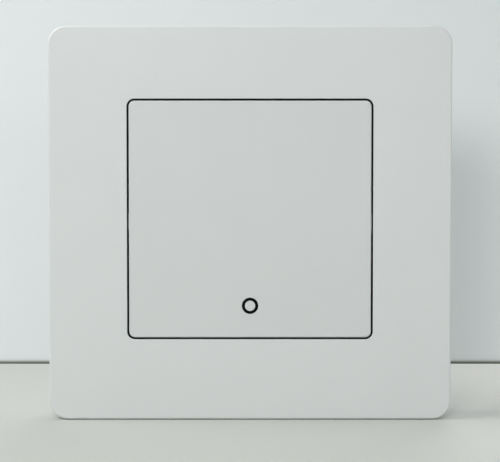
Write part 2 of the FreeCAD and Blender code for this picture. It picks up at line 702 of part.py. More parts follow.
def crystal(place):
    base_front = BOARD_FRONT + CRYSTAL_BASE
    lid_width = CRYSTAL_WIDTH - 2 * CRYSTAL_LID_INSET
    lid_length = CRYSTAL_LENGTH - 2 * CRYSTAL_LID_INSET
    lid_corner = inner_corner(CRYSTAL_CORNER, CRYSTAL_LID_INSET)
    return joined(
        slab(CRYSTAL_WIDTH, CRYSTAL_LENGTH, CRYSTAL_CORNER, BOARD_FRONT, base_front, place),
        slab(lid_width, lid_length, lid_corner, base_front, base_front + CRYSTAL_LID, place),
    )


def transmitter_chip(place):
    back = BOARD_FRONT + CHIP_STANDOFF
    body = slab(CHIP_WIDTH, CHIP_LENGTH, CHIP_CORNER, back, back + CHIP_THICKNESS, place)
    leads = []
    for side in (-1, 1):
        for number in range(CHIP_LEADS):
            y = place[1] + (number - (CHIP_LEADS - 1) / 2) * CHIP_PITCH
            leads.extend(chip_lead(place[0], side, y))
    return joined(body, *leads)


def chip_lead(x, side, y):
    """A lead that leaves the chip's side, drops to the board and ends in a foot."""
    run_front = BOARD_FRONT + CHIP_STANDOFF + (CHIP_THICKNESS + LEAD_SHEET) / 2
    edge = CHIP_WIDTH / 2
    run = x + side * (edge + LEAD_RUN / 2)
    leg = x + side * (edge + LEAD_RUN - LEAD_SHEET / 2)
    foot = x + side * (edge + LEAD_RUN + LEAD_FOOT / 2)
    return [
        block(LEAD_RUN, LEAD_WIDTH, run_front - LEAD_SHEET, run_front, (run, y)),
        block(LEAD_SHEET, LEAD_WIDTH, BOARD_FRONT, run_front, (leg, y)),
        block(LEAD_FOOT, LEAD_WIDTH, BOARD_FRONT, BOARD_FRONT + LEAD_SHEET, (foot, y)),
    ]


def coil_antenna(x, top):
    """A wire coil that lies along y on the board, with a short straight tail at each end."""
    radius = (COIL_DIAMETER - COIL_WIRE) / 2
    length = COIL_PITCH * COIL_TURNS
    helix = Part.makeHelix(COIL_PITCH, length, radius)
    along = Vector(0, radius, COIL_PITCH / (2 * math.pi))
    section = Part.Wire(Part.makeCircle(COIL_WIRE / 2, Vector(radius, 0, 0), along))
    coil = Part.Wire(helix).makePipeShell([section], True, True)
    ends = []
    for start in (-COIL_TAIL, length):
        ends.append(Part.makeCylinder(COIL_WIRE / 2, COIL_TAIL, Vector(radius, 0, start)))
    for knee in (0, length):
        ends.append(Part.makeSphere(COIL_WIRE / 2, Vector(radius, 0, knee)))
    coil = coil.fuse(ends)
    coil.rotate(Vector(0, 0, 0), Vector(1, 0, 0), -90)
    coil.rotate(Vector(0, 0, 0), Vector(0, 1, 0), 90)
    coil.translate(Vector(x, top - COIL_TAIL - length, BOARD_FRONT + COIL_DIAMETER / 2))
    return coil


def small_part(place):
    """A chip capacitor or resistor: a small block with a metal cap at each end."""
    cap_width = SMALL_PART_WIDTH + 2 * SMALL_PART_CAP_STEP
    cap_front = BOARD_FRONT + SMALL_PART_HEIGHT + SMALL_PART_CAP_STEP
    body_front = BOARD_FRONT + SMALL_PART_HEIGHT
    body = block(SMALL_PART_LENGTH, SMALL_PART_WIDTH, BOARD_FRONT, body_front, place)
    caps = []
    for side in (-1, 1):
        x = place[0] + side * (SMALL_PART_LENGTH - SMALL_PART_CAP) / 2
        caps.append(block(SMALL_PART_CAP, cap_width, BOARD_FRONT, cap_front, (x, place[1])))
    return joined(body, *caps)


def small_row(name, x, top):
    """Like small parts one below the other, each a piece of its own."""
    step = SMALL_PART_WIDTH + SMALL_PART_SPACING
    row = {}
    for number in range(SMALL_PARTS):
        y = top - SMALL_PART_WIDTH / 2 - number * step
        row[f"{name}_{number + 1}"] = small_part((x, y))
    return row


def transmitter():
    """The crystal, chip and capacitors to the right of the battery, the coil and resistors to its left."""
    crystal_y = LANE_TOP - CRYSTAL_LENGTH / 2
    chip_y = crystal_y - CRYSTAL_LENGTH / 2 - LANE_SPACING - CHIP_LENGTH / 2
    capacitors_top = chip_y - CHIP_LENGTH / 2 - LANE_SPACING
    resistors_top = LANE_TOP - COIL_PITCH * COIL_TURNS - 2 * COIL_TAIL - LANE_SPACING
    return {
        "crystal": crystal((LANE_X, crystal_y)),
        "transmitter_chip": transmitter_chip((LANE_X, chip_y)),
        "coil_antenna": coil_antenna(-LANE_X, LANE_TOP),
        **small_row("chip_capacitor", LANE_X, capacitors_top),
        **small_row("chip_resistor", -LANE_X, resistors_top),
    }


def all_pieces():
    return {
        "cover_plate": cover_plate(),
        "push_key": push_key(),
        "indicator_ring": ring_band(),
        "base_housing": base_housing(),
        "adhesive_pad_top": adhesive_pad(1),
        "adhesive_pad_bottom": adhesive_pad(-1),
        "inner_frame": inner_frame(),
        "case_screws": case_screws(),
        "circuit_board": circuit_board(),
        "coin_cell": coin_cell(),
        "battery_holder": battery_holder(),
        "battery_clip": battery_clip(),
        "battery_contact": battery_contact(),
        "tact_body": tact_body(),
        "tact_cover": tact_cover(),
        "tact_dome": tact_dome(),
        "tact_plunger": tact_plunger(),
        "tact_terminal_upper": tact_terminal(1),
        "tact_terminal_lower": tact_terminal(-1),
        "status_led": status_led(),
        "light_guide": light_guide(),
        **transmitter(),
    }


def main():
    os.makedirs("parts", exist_ok=True)
    for name, shape in all_pieces().items():
        shape.rotate(Vector(0, 0, 0), Vector(1, 0, 0), 90)
        shape.exportStep(f"parts/{name}.step")
        print(f"{name}: {len(shape.Solids)} solid, valid {shape.isValid()}, {shape.Volume:.2f} mm3")
    print(f"pivot at y {PIVOT_Y:.3f}, level {PIVOT_LEVEL:.3f}, switch at y {TACT_CENTRE[1]:.3f}")
    pressed_turn = TACT_TRAVEL / (PIVOT_Y - TACT_CENTRE[1])
    print(f"front face at level {FACE_LEVEL:.3f}, pressed turn {pressed_turn:.6f} rad")


main()
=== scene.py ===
import json
import math
from collections import namedtuple

import bmesh
import bpy
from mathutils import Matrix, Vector


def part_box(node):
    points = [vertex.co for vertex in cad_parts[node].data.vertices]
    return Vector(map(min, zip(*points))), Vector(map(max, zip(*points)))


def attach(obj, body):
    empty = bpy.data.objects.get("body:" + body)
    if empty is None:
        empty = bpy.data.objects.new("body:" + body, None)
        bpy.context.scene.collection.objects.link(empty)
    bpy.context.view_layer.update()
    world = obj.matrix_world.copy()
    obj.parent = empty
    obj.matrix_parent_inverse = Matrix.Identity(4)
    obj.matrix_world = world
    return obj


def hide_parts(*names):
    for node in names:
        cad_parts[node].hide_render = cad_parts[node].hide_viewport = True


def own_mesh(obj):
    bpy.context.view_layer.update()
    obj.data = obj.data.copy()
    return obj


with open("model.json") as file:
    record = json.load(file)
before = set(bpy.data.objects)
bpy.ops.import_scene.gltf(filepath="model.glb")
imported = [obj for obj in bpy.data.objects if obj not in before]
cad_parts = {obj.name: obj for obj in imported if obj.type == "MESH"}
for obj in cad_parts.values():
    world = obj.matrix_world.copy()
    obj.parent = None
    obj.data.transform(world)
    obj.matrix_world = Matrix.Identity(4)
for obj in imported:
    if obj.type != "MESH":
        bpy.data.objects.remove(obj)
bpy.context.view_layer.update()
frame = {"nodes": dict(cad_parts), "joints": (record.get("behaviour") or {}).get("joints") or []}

# Pieces are modelled in millimetres, and levels count from the wall towards the room
MM = 0.001
# Points this near an outline lie on it, and a cutter runs this far past a face
NEAR = 0.004
PASS = 1.0
SMOOTH_ANGLE = math.radians(32)
CORNER_STEPS = 14
ROUND_STEPS = 56
EDGE_STEPS = 3
SMALL_EDGE_STEPS = 2
LEAST_CORNER = 0.3
# Turns a flat shape upright, so that it faces the room
FACE_TURN = (math.pi / 2, 0, 0)
SIDES = (-1, 1)

# Cover plate
PLATE_CORNER = 4.0
PLATE_EDGE = 0.5
PLATE_EDGE_STEPS = 6
FACE_WALL = 2.0
SKIRT_WALL = 2.0
COLLAR_WALL = 1.2
COLLAR_DEPTH = 2.4
COVER_RIB = 1.0
COVER_RIB_OFFSET = 16.0
NOTCH_WIDTH = 8.0
NOTCH_HEIGHT = 1.6
CATCH_OFFSET = 24.0
CATCH_WIDTH = 8.0
CATCH_HEIGHT = 1.6
CATCH_REACH = 0.9
CATCH_FRONT = 4.35
CATCH_FIT = 0.15

# Key and the gap round it
KEY_GAP = 0.42
OPENING_CORNER = 1.7
OPENING_EDGE = 0.15
KEY_EDGE = 0.3
KEY_EDGE_STEPS = 5
KEY_WALL = 2.0
KEY_SKIRT = 1.2
KEY_SKIRT_DEPTH = 2.4
POST_DIAMETER = 3.0
POST_GAP = 0.03
LUG_WIDTH = 5.0
PIN_DIAMETER = 2.0
PIN_GRIP = 1.1
HOOK_OFFSET = 12.0
HOOK_WIDTH = 5.0
HOOK_HEIGHT = 1.2
HOOK_REACH = 2.5

# Ring in the key, and the pocket for the light behind it
RING_BAND = 0.62
RING_FIT = 0.02
RING_SINK = 0.02
RING_EDGE = 0.06
POCKET_MARGIN = 0.5
POCKET_DEPTH = 0.4

# Painted shade on the walls of the gap round the key: how far below the face it starts, and how far past
# the opening it reaches
GAP_SHADE_DEPTH = 0.45
GAP_SHADE_MARGIN = 0.1

# Base
BASE_GAP = 0.3
BASE_EDGE = 0.4
BASE_EDGE_STEPS = 5
BASE_WALL = 1.6
BASE_FLOOR = 2.0
BASE_RIB = 1.0
BASE_RIB_HEIGHT = 1.2
BASE_RIB_OFFSET = 12.0
SEAT_WALL = 1.0
SEAT_HEIGHT = 1.0
SEAT_FIT = 0.2
FRAME_CORNER = 1.0
SLOT_SPACING = 60.3
SLOT_LENGTH = 8.0
SLOT_WIDTH = 4.2
SLOT_EDGE = 0.3
PILLAR_WALL = 1.2
MARK_DIAMETER = 4.0
MARK_DEPTH = 0.06
MARK_PLACES = ((-34.0, 17.0), (34.0, 17.0), (-34.0, -17.0), (34.0, -17.0), (0.0, 12.0), (0.0, -12.0))
RIM_EDGE = 0.15

# Pads
PADS = ("adhesive_pad_top", "adhesive_pad_bottom")
PAD_CORNER = 1.0
PAD_FIT = 0.25
LINER_THICKNESS = 0.08
LINER_EDGE = LINER_THICKNESS / 3
LINER_INSET = 0.12
PAD_BULGE = 0.1
SLIT_WIDTH = 0.2
SLIT_TURN = math.radians(24)

# Screws
SCREW_INSET = 3.2
SCREW_DIAMETER = 2.0
SCREW_CORE = 1.5
SCREW_PITCH = 0.5
SCREW_TURNS = 10
SCREW_POINT = 0.6
# The ridge of the thread starts inside the core, and its radius is a share of the pitch
THREAD_ROOT = 0.08
THREAD_SHARE = 0.32
THREAD_STEPS = 45
THREAD_START = math.radians(2)
HEAD_DIAMETER = 3.8
HEAD_HEIGHT = 1.3
HEAD_SINK = 0.2
HEAD_FRONT = HEAD_SINK + HEAD_HEIGHT
HEAD_EDGE = 0.1
# Rings of the domed head: share of its diameter, and depth below its top
HEAD_CURVE = ((0.62, 0.0), (0.80, 0.06), (0.92, 0.2), (0.985, 0.42), (1.0, 0.7))
HEAD_CLEARANCE = 0.2
DRIVE_LENGTH = 2.2
DRIVE_WIDTH = 0.5
DRIVE_DEPTH = 0.8
DRIVE_TAPER = 0.55

# Spring dome of the push switch: the thickness of its sheet, and the rings down its cap
DOME_SHEET = 0.1
DOME_STEPS = 8

Outline = namedtuple("Outline", "width height corner x z")


def outline_of(node, corner):
    """A part's outline seen from the front, from its box."""
    low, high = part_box(node)
    middle = (low + high) / 2 / MM
    return Outline((high.x - low.x) / MM, (high.z - low.z) / MM, corner, middle.x, middle.z)


def levels_of(node):
    """How far a part's back and front stand off the wall."""
    low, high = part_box(node)
    return -high.y / MM, -low.y / MM


def grown(outline, margin):
    """An outline moved outwards all round, or inwards with a margin below zero."""
    corner = max(outline.corner + margin, LEAST_CORNER)
    width = outline.width + 2 * margin
    return outline._replace(width=width, height=outline.height + 2 * margin, corner=corner)


def disc(diameter, x, z):
    """A round outline."""
    return Outline(diameter, diameter, diameter / 2, x, z)


def spot(x, level, z):
    """A point that stands off the wall by a level."""
    return Vector((x, -level, z))


PLATE = outline_of("cover_plate", PLATE_CORNER)
SKIRT_BACK, FACE = levels_of("cover_plate")
SKIRT_INSIDE = grown(PLATE, -SKIRT_WALL)
FACE_BACK = FACE - FACE_WALL
KEY = outline_of("push_key", OPENING_CORNER - KEY_GAP)
OPENING = grown(KEY, KEY_GAP)
COLLAR = grown(OPENING, COLLAR_WALL)
COLLAR_BACK = FACE_BACK - COLLAR_DEPTH
KEY_BACK = FACE - KEY_WALL
KEY_SKIRT_BACK = KEY_BACK - KEY_SKIRT_DEPTH
KEY_INSIDE = grown(KEY, -KEY_SKIRT)
RING = outline_of("indicator_ring", 0.0)
RING_BACK = levels_of("indicator_ring")[0]
BASE = outline_of("base_housing", PLATE_CORNER - SKIRT_WALL - BASE_GAP)
BASE_RIM = levels_of("base_housing")[1]
BASE_INSIDE = grown(BASE, -BASE_WALL)
INNER_FRAME = outline_of("inner_frame", FRAME_CORNER)
SEAT = grown(INNER_FRAME, SEAT_FIT)
BOARD = outline_of("circuit_board", 0.0)
BOARD_BACK, BOARD_FRONT = levels_of("circuit_board")
SCREW_TIP = levels_of("case_screws")[1]
SCREW_PLACES = [
    (x * (BOARD.width / 2 - SCREW_INSET), BOARD.z + z * (BOARD.height / 2 - SCREW_INSET))
    for x in SIDES
    for z in SIDES
]
PLUNGER = outline_of("tact_plunger", 0.0)
PLUNGER_FRONT = levels_of("tact_plunger")[1]
DOME = outline_of("tact_dome", 0.0)
DOME_FOOT, DOME_CROWN = levels_of("tact_dome")
HINGE = next(joint for joint in frame["joints"] if joint["type"] == "hinge")
PIVOT_LEVEL = -HINGE["pos_m"][1] / MM
PIVOT_Z = HINGE["pos_m"][2] / MM


def start_piece(name):
    """A piece with an empty mesh at the origin, open for editing."""
    bpy.ops.object.select_all(action="DESELECT")
    bpy.ops.mesh.primitive_plane_add(enter_editmode=True)
    bpy.ops.mesh.delete(type="VERT")
    piece = bpy.context.object
    piece.name = name
    piece.data.name = name
    return piece


def activate(piece):
    """Makes a piece the one that the next steps work on."""
    bpy.ops.object.select_all(action="DESELECT")
    piece.select_set(True)
    bpy.context.view_layer.objects.active = piece


def pick(test):
    """Selects the points that pass a test, and what lies between them."""
    bpy.ops.mesh.select_mode(type="VERT")
    bpy.ops.mesh.select_all(action="DESELECT")
    mesh = bmesh.from_edit_mesh(bpy.context.object.data)
    for vertex in mesh.verts:
        vertex.select = test(vertex.co)
    mesh.select_flush(True)
    bmesh.update_edit_mesh(bpy.context.object.data)


def on_loop(outline, level):
    """A test for points on an outline at a level."""

    def test(point):
        across = abs(point.x - outline.x) - outline.width / 2 + outline.corner
        up = abs(point.z - outline.z) - outline.height / 2 + outline.corner
        reach = math.hypot(max(across, 0), max(up, 0)) + min(max(across, up), 0)
        return abs(reach - outline.corner) < NEAR and abs(point.y + level) < NEAR

    return test


def draw_loop(outline, level):
    """Adds a ring of edges: a rectangle with round corners, or a circle."""
    middle = spot(outline.x, level, outline.z)
    bpy.ops.mesh.select_all(action="DESELECT")
    if outline.corner * 2 >= outline.width - NEAR:
        radius = outline.width / 2
        bpy.ops.mesh.primitive_circle_add(
            vertices=ROUND_STEPS, radius=radius, location=middle, rotation=FACE_TURN
        )
        return
    bpy.ops.mesh.primitive_plane_add(size=1, location=middle, rotation=FACE_TURN)
    bpy.ops.transform.resize(value=(outline.width, 1, outline.height), center_override=middle)
    bpy.ops.mesh.bevel(offset=outline.corner, segments=CORNER_STEPS, affect="VERTICES")
    bpy.ops.mesh.delete(type="ONLY_FACE")


def bridge(*rings):
    """Joins each ring to the next by a wall; a ring is an outline and its level."""
    pairs = list(zip(rings, rings[1:]))
    # Rings on one level go first, because a wall on one of them could turn the other round
    pairs.sort(key=lambda pair: pair[0][1] != pair[1][1])
    for first, second in pairs:
        tests = on_loop(*first), on_loop(*second)
        pick(lambda point: tests[0](point) or tests[1](point))
        bpy.ops.mesh.bridge_edge_loops()


def cap(outline, level):
    """Closes a ring with a flat face."""
    pick(on_loop(outline, level))
    bpy.ops.mesh.edge_face_add()


def soften(outline, level, width, steps=EDGE_STEPS):
    """Rounds the edge that runs along an outline."""
    pick(on_loop(outline, level))
    bpy.ops.mesh.bevel(offset=width, segments=steps, affect="EDGES")


def face_outwards():
    bpy.ops.mesh.select_all(action="SELECT")
    bpy.ops.mesh.normals_make_consistent(inside=False)


def draw_stack(*rings):
    """Adds a closed solid through rings, with a cap at each end."""
    for ring in rings:
        draw_loop(*ring)
    bridge(*rings)
    cap(*rings[0])
    cap(*rings[-1])
    face_outwards()


def draw_tube(*rings):
    """Adds a closed solid with a hole through it, whose last ring meets its first."""
    for ring in rings:
        draw_loop(*ring)
    bridge(*rings, rings[0])
    face_outwards()


def draw_block(width, height, back, front, x, z):
    """Adds a box between two levels."""
    middle = spot(x, (back + front) / 2, z)
    bpy.ops.mesh.select_all(action="DESELECT")
    bpy.ops.mesh.primitive_cube_add(size=1, location=middle)
    bpy.ops.transform.resize(value=(width, front - back, height), center_override=middle)


def draw_bar(diameter, start, end, level, z):
    """Adds a round bar that lies across the object."""
    bpy.ops.mesh.select_all(action="DESELECT")
    bpy.ops.mesh.primitive_cylinder_add(
        vertices=ROUND_STEPS,
        radius=diameter / 2,
        depth=abs(end - start),
        location=spot((start + end) / 2, level, z),
        rotation=(0, math.pi / 2, 0),
    )


def close_piece():
    face_outwards()
    bpy.ops.object.mode_set(mode="OBJECT")


def open_piece(piece):
    activate(piece)
    bpy.ops.object.mode_set(mode="EDIT")


def combine(piece, other, operation):
    """Adds a closed shape to a piece, or takes it away."""
    activate(piece)
    modifier = piece.modifiers.new("combine", "BOOLEAN")
    modifier.operation = operation
    modifier.solver = "EXACT"
    modifier.use_self = True
    modifier.object = other
    bpy.ops.object.modifier_apply(modifier=modifier.name)
    bpy.data.objects.remove(other)


def settle(piece):
    """Brings a piece from millimetres to metres, with smooth curves beside flat faces that stay flat."""
    open_piece(piece)
    bpy.ops.mesh.select_all(action="SELECT")
    bpy.ops.transform.resize(value=(MM, MM, MM), center_override=(0, 0, 0))
    bpy.ops.object.mode_set(mode="OBJECT")
    bpy.ops.object.shade_smooth_by_angle(angle=SMOOTH_ANGLE)
    modifier = piece.modifiers.new("flat faces", "WEIGHTED_NORMAL")
    modifier.keep_sharp = True
    bpy.ops.object.modifier_apply(modifier=modifier.name)


def place_piece(piece, body, node, slot, look):
    """Gives a piece its finish and lets it stand for a node."""
    settle(piece)
    piece.data.materials.clear()
    piece.data.materials.append(look)
    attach(piece, body)
    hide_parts(node)


# Mouldings


def make_cover():
    """The plate: a face with a skirt behind it and a collar round the opening."""
    piece = start_piece("cover_moulding")
    draw_tube(
        (PLATE, FACE),
        (PLATE, SKIRT_BACK),
        (SKIRT_INSIDE, SKIRT_BACK),
        (SKIRT_INSIDE, FACE_BACK),
        (COLLAR, FACE_BACK),
        (COLLAR, COLLAR_BACK),
        (OPENING, COLLAR_BACK),
        (OPENING, FACE),
    )
    soften(PLATE, FACE, PLATE_EDGE, PLATE_EDGE_STEPS)
    soften(OPENING, FACE, OPENING_EDGE)
    soften(PLATE, SKIRT_BACK, RIM_EDGE)
    soften(SKIRT_INSIDE, SKIRT_BACK, RIM_EDGE)
    close_piece()
    parts = start_piece("cover_parts")
    cover_ribs()
    for side in SIDES:
        for across in SIDES:
            draw_catch(side, across * CATCH_OFFSET)
    close_piece()
    combine(piece, parts, "UNION")
    notch = start_piece("notch_cutter")
    notch_z = PLATE.z - (PLATE.height - SKIRT_WALL) / 2
    notch_front = SKIRT_BACK + NOTCH_HEIGHT
    draw_block(NOTCH_WIDTH, SKIRT_WALL + PASS, SKIRT_BACK - PASS, notch_front, PLATE.x, notch_z)
    close_piece()
    combine(piece, notch, "DIFFERENCE")
    return piece


def cover_ribs():
    """Stiffening bars behind the face, from the collar out to the skirt."""
    bury = COLLAR_WALL / 2
    back = COLLAR_BACK + bury
    front = FACE_BACK + bury
    for side in SIDES:
        collar_x = COLLAR.x + side * (COLLAR.width / 2 - bury)
        collar_z = COLLAR.z + side * (COLLAR.height / 2 - bury)
        skirt_x = side * (SKIRT_INSIDE.width / 2 + bury)
        skirt_z = side * (SKIRT_INSIDE.height / 2 + bury)
        wide = abs(skirt_x - collar_x)
        tall = abs(skirt_z - collar_z)
        for offset in (-COVER_RIB_OFFSET, COVER_RIB_OFFSET):
            draw_block(wide, COVER_RIB, back, front, (collar_x + skirt_x) / 2, COLLAR.z + offset)
            draw_block(COVER_RIB, tall, back, front, offset, (collar_z + skirt_z) / 2)


def draw_catch(side, x):
    """A wedge inside the skirt that snaps into the base, with its flat side to the front."""
    bury = SKIRT_WALL / 2
    height = CATCH_REACH + bury
    back = CATCH_FRONT - CATCH_HEIGHT
    middle = side * (SKIRT_INSIDE.height + bury - CATCH_REACH) / 2
    draw_block(CATCH_WIDTH, height, back, CATCH_FRONT, x, middle)
    tip = middle - side * height / 2
    pick(lambda point: abs(point.z - tip) < NEAR and abs(point.y + back) < NEAR)
    bpy.ops.transform.translate(value=(0, 0, side * CATCH_REACH))


def make_key():
    """The key: a flat face with a soft edge, a groove for the ring and its parts behind."""
    piece = start_piece("key_moulding")
    draw_stack((KEY, FACE), (KEY, KEY_SKIRT_BACK), (KEY_INSIDE, KEY_SKIRT_BACK), (KEY_INSIDE, KEY_BACK))
    soften(KEY, FACE, KEY_EDGE, KEY_EDGE_STEPS)
    close_piece()
    parts = start_piece("key_parts")
    key_parts()
    close_piece()
    combine(piece, parts, "UNION")
    groove = disc(RING.width + 2 * RING_FIT, RING.x, RING.z)
    island = disc(RING.width - 2 * RING_BAND - 2 * RING_FIT, RING.x, RING.z)
    pocket = disc(RING.width + 2 * POCKET_MARGIN, RING.x, RING.z)
    cutter = start_piece("groove_cutter")
    draw_tube((groove, RING_BACK), (groove, FACE + PASS), (island, FACE + PASS), (island, RING_BACK))
    draw_stack((pocket, KEY_BACK - PASS), (pocket, KEY_BACK + POCKET_DEPTH))
    close_piece()
    combine(piece, cutter, "DIFFERENCE")
    open_piece(piece)
    soften(groove, FACE, RING_EDGE, SMALL_EDGE_STEPS)
    soften(island, FACE, RING_EDGE, SMALL_EDGE_STEPS)
    close_piece()
    return piece


def key_parts():
    """The post over the push switch, the two pivots and the two hooks."""
    bury = KEY_WALL / 2
    post = disc(POST_DIAMETER, PLUNGER.x, PLUNGER.z)
    draw_stack((post, PLUNGER_FRONT + POST_GAP), (post, KEY_BACK + bury))
    bottom = KEY.z - KEY.height / 2
    hook_back = PIVOT_LEVEL - HOOK_HEIGHT
    for side in SIDES:
        outside = side * KEY.width / 2
        inside = outside - side * KEY_SKIRT
        middle = (outside + inside) / 2
        draw_block(KEY_SKIRT, LUG_WIDTH, PIVOT_LEVEL, KEY_BACK, middle, PIVOT_Z)
        draw_bar(LUG_WIDTH, outside, inside, PIVOT_LEVEL, PIVOT_Z)
        draw_bar(PIN_DIAMETER, middle, side * (INNER_FRAME.width / 2 - PIN_GRIP), PIVOT_LEVEL, PIVOT_Z)
        hook = side * HOOK_OFFSET
        draw_block(HOOK_WIDTH, KEY_SKIRT, hook_back, KEY_BACK, hook, bottom + KEY_SKIRT / 2)
        draw_block(HOOK_WIDTH, HOOK_REACH, hook_back, PIVOT_LEVEL, hook, bottom + HOOK_REACH / 2)


def make_ring():
    """The dark ring, a hair below the key's face."""
    piece = start_piece("ring_insert")
    outer = disc(RING.width, RING.x, RING.z)
    inner = disc(RING.width - 2 * RING_BAND, RING.x, RING.z)
    front = FACE - RING_SINK
    draw_tube((outer, front), (outer, RING_BACK), (inner, RING_BACK), (inner, front))
    soften(outer, front, RING_EDGE)
    soften(inner, front, RING_EDGE)
    close_piece()
    return piece


def make_base():
    """The tray against the wall, with its slots, screw holes and pad pockets."""
    piece = start_piece("base_moulding")
    draw_stack((BASE, 0.0), (BASE, BASE_RIM), (BASE_INSIDE, BASE_RIM), (BASE_INSIDE, BASE_FLOOR))
    soften(BASE, 0.0, BASE_EDGE, BASE_EDGE_STEPS)
    soften(BASE, BASE_RIM, RIM_EDGE)
    soften(BASE_INSIDE, BASE_RIM, RIM_EDGE)
    close_piece()
    parts = start_piece("base_parts")
    base_parts()
    close_piece()
    combine(piece, parts, "UNION")
    cutter = start_piece("base_cutter")
    edges = base_cuts()
    close_piece()
    combine(piece, cutter, "DIFFERENCE")
    open_piece(piece)
    for outline, width in edges:
        soften(outline, 0.0, width)
    close_piece()
    return piece


def base_parts():
    """Ribs, the rail round the inner frame and the pillars under the board."""
    buried = BASE_FLOOR / 2
    rail = grown(SEAT, SEAT_WALL)
    rail_front = BASE_FLOOR + SEAT_HEIGHT
    draw_tube((rail, buried), (rail, rail_front), (SEAT, rail_front), (SEAT, buried))
    rib_front = BASE_FLOOR + BASE_RIB_HEIGHT
    lap = SEAT_WALL / 2
    for side in SIDES:
        rail_x = rail.x + side * (rail.width / 2 - lap)
        rail_z = rail.z + side * (rail.height / 2 - lap)
        wall_x = side * (BASE_INSIDE.width / 2 + lap)
        wall_z = side * (BASE_INSIDE.height / 2 + lap)
        wide = abs(wall_x - rail_x)
        tall = abs(wall_z - rail_z)
        for offset in (-BASE_RIB_OFFSET, BASE_RIB_OFFSET):
            draw_block(wide, BASE_RIB, buried, rib_front, (rail_x + wall_x) / 2, rail.z + offset)
            draw_block(BASE_RIB, tall, buried, rib_front, offset, (rail_z + wall_z) / 2)
    for x, z in SCREW_PLACES:
        pillar = disc(HEAD_DIAMETER + 2 * (HEAD_CLEARANCE + PILLAR_WALL), x, z)
        draw_stack((pillar, buried), (pillar, BOARD_BACK))


def base_cuts():
    """Draws what is taken out of the base, and gives the edges that its back shows."""
    edges = []
    for side in SIDES:
        slot = Outline(SLOT_LENGTH, SLOT_WIDTH, SLOT_WIDTH / 2 - NEAR, side * SLOT_SPACING / 2, 0.0)
        draw_stack((slot, -PASS), (slot, BASE_FLOOR + PASS))
        edges.append((slot, SLOT_EDGE))
        for across in SIDES:
            draw_window(side, across * CATCH_OFFSET)
    for pad in PADS:
        pocket = grown(outline_of(pad, PAD_CORNER), PAD_FIT)
        draw_stack((pocket, -PASS), (pocket, levels_of(pad)[1]))
        edges.append((pocket, RIM_EDGE))
    for x, z in SCREW_PLACES:
        head = disc(HEAD_DIAMETER + 2 * HEAD_CLEARANCE, x, z)
        shank = disc(SCREW_DIAMETER + 2 * HEAD_CLEARANCE, x, z)
        draw_stack((head, -PASS), (head, HEAD_FRONT), (shank, HEAD_FRONT), (shank, BOARD_BACK + PASS))
        edges.append((head, RIM_EDGE))
    for x, z in MARK_PLACES:
        mark = disc(MARK_DIAMETER, x, z)
        draw_stack((mark, -PASS), (mark, MARK_DEPTH))
    return edges


def draw_window(side, x):
    """The hole in the base's wall that a catch snaps into."""
    middle = side * (BASE.height - BASE_WALL) / 2
    back = CATCH_FRONT - CATCH_HEIGHT - CATCH_FIT
    width = CATCH_WIDTH + 2 * CATCH_FIT
    draw_block(width, BASE_WALL + 2 * CATCH_FIT, back, CATCH_FRONT + CATCH_FIT, x, middle)


# Pads and screws


def make_pad(node):
    """A foam pad whose cut sides bulge a little."""
    outline = outline_of(node, PAD_CORNER)
    front = levels_of(node)[1]
    waist = (LINER_THICKNESS + front) / 2
    # Halfway to the waist, a round side lies a quarter of the bulge further in than at the waist
    halfway = grown(outline, -PAD_BULGE / 4)
    piece = start_piece(node.replace("adhesive_pad", "foam_pad"))
    draw_stack(
        (grown(outline, -PAD_BULGE), LINER_THICKNESS),
        (halfway, (LINER_THICKNESS + waist) / 2),
        (outline, waist),
        (halfway, (front + waist) / 2),
        (grown(outline, -PAD_BULGE), front),
    )
    close_piece()
    return piece


def make_liner(node):
    """The slit paper liner on a pad's sticky face."""
    outline = outline_of(node, PAD_CORNER)
    sheet = grown(outline, -LINER_INSET)
    piece = start_piece(node.replace("adhesive_pad", "pad_liner"))
    draw_stack((sheet, 0.0), (sheet, LINER_THICKNESS))
    soften(sheet, 0.0, LINER_EDGE, SMALL_EDGE_STEPS)
    close_piece()
    cutter = start_piece("slit_cutter")
    middle = spot(outline.x, 0.0, outline.z)
    draw_block(SLIT_WIDTH, outline.height * 2, -PASS, PASS, outline.x, outline.z)
    bpy.ops.transform.rotate(value=SLIT_TURN, orient_axis="Y", center_override=middle)
    close_piece()
    combine(piece, cutter, "DIFFERENCE")
    return piece


def make_screw():
    """A pan-head screw with a cross drive and a rolled thread, at the origin."""
    piece = start_piece("screw_pattern")
    core = disc(SCREW_CORE, 0, 0)
    rings = [(disc(HEAD_DIAMETER * share, 0, 0), HEAD_SINK + depth) for share, depth in HEAD_CURVE]
    rings += [
        (disc(HEAD_DIAMETER, 0, 0), HEAD_FRONT - HEAD_EDGE),
        (disc(HEAD_DIAMETER - 2 * HEAD_EDGE, 0, 0), HEAD_FRONT),
        (core, HEAD_FRONT),
        (core, SCREW_TIP - SCREW_POINT),
        (disc(SCREW_CORE / 2, 0, 0), SCREW_TIP),
    ]
    draw_stack(*rings)
    close_piece()
    combine(piece, make_thread(), "UNION")
    for long, short in ((DRIVE_LENGTH, DRIVE_WIDTH), (DRIVE_WIDTH, DRIVE_LENGTH)):
        cutter = start_piece("drive_cutter")
        deep = HEAD_SINK + DRIVE_DEPTH
        draw_block(long, short, HEAD_SINK - PASS, deep, 0, 0)
        pick(lambda point: abs(point.y + deep) < NEAR)
        bpy.ops.transform.resize(value=(DRIVE_TAPER, 1, DRIVE_TAPER), center_override=spot(0, deep, 0))
        close_piece()
        combine(piece, cutter, "DIFFERENCE")
    return piece


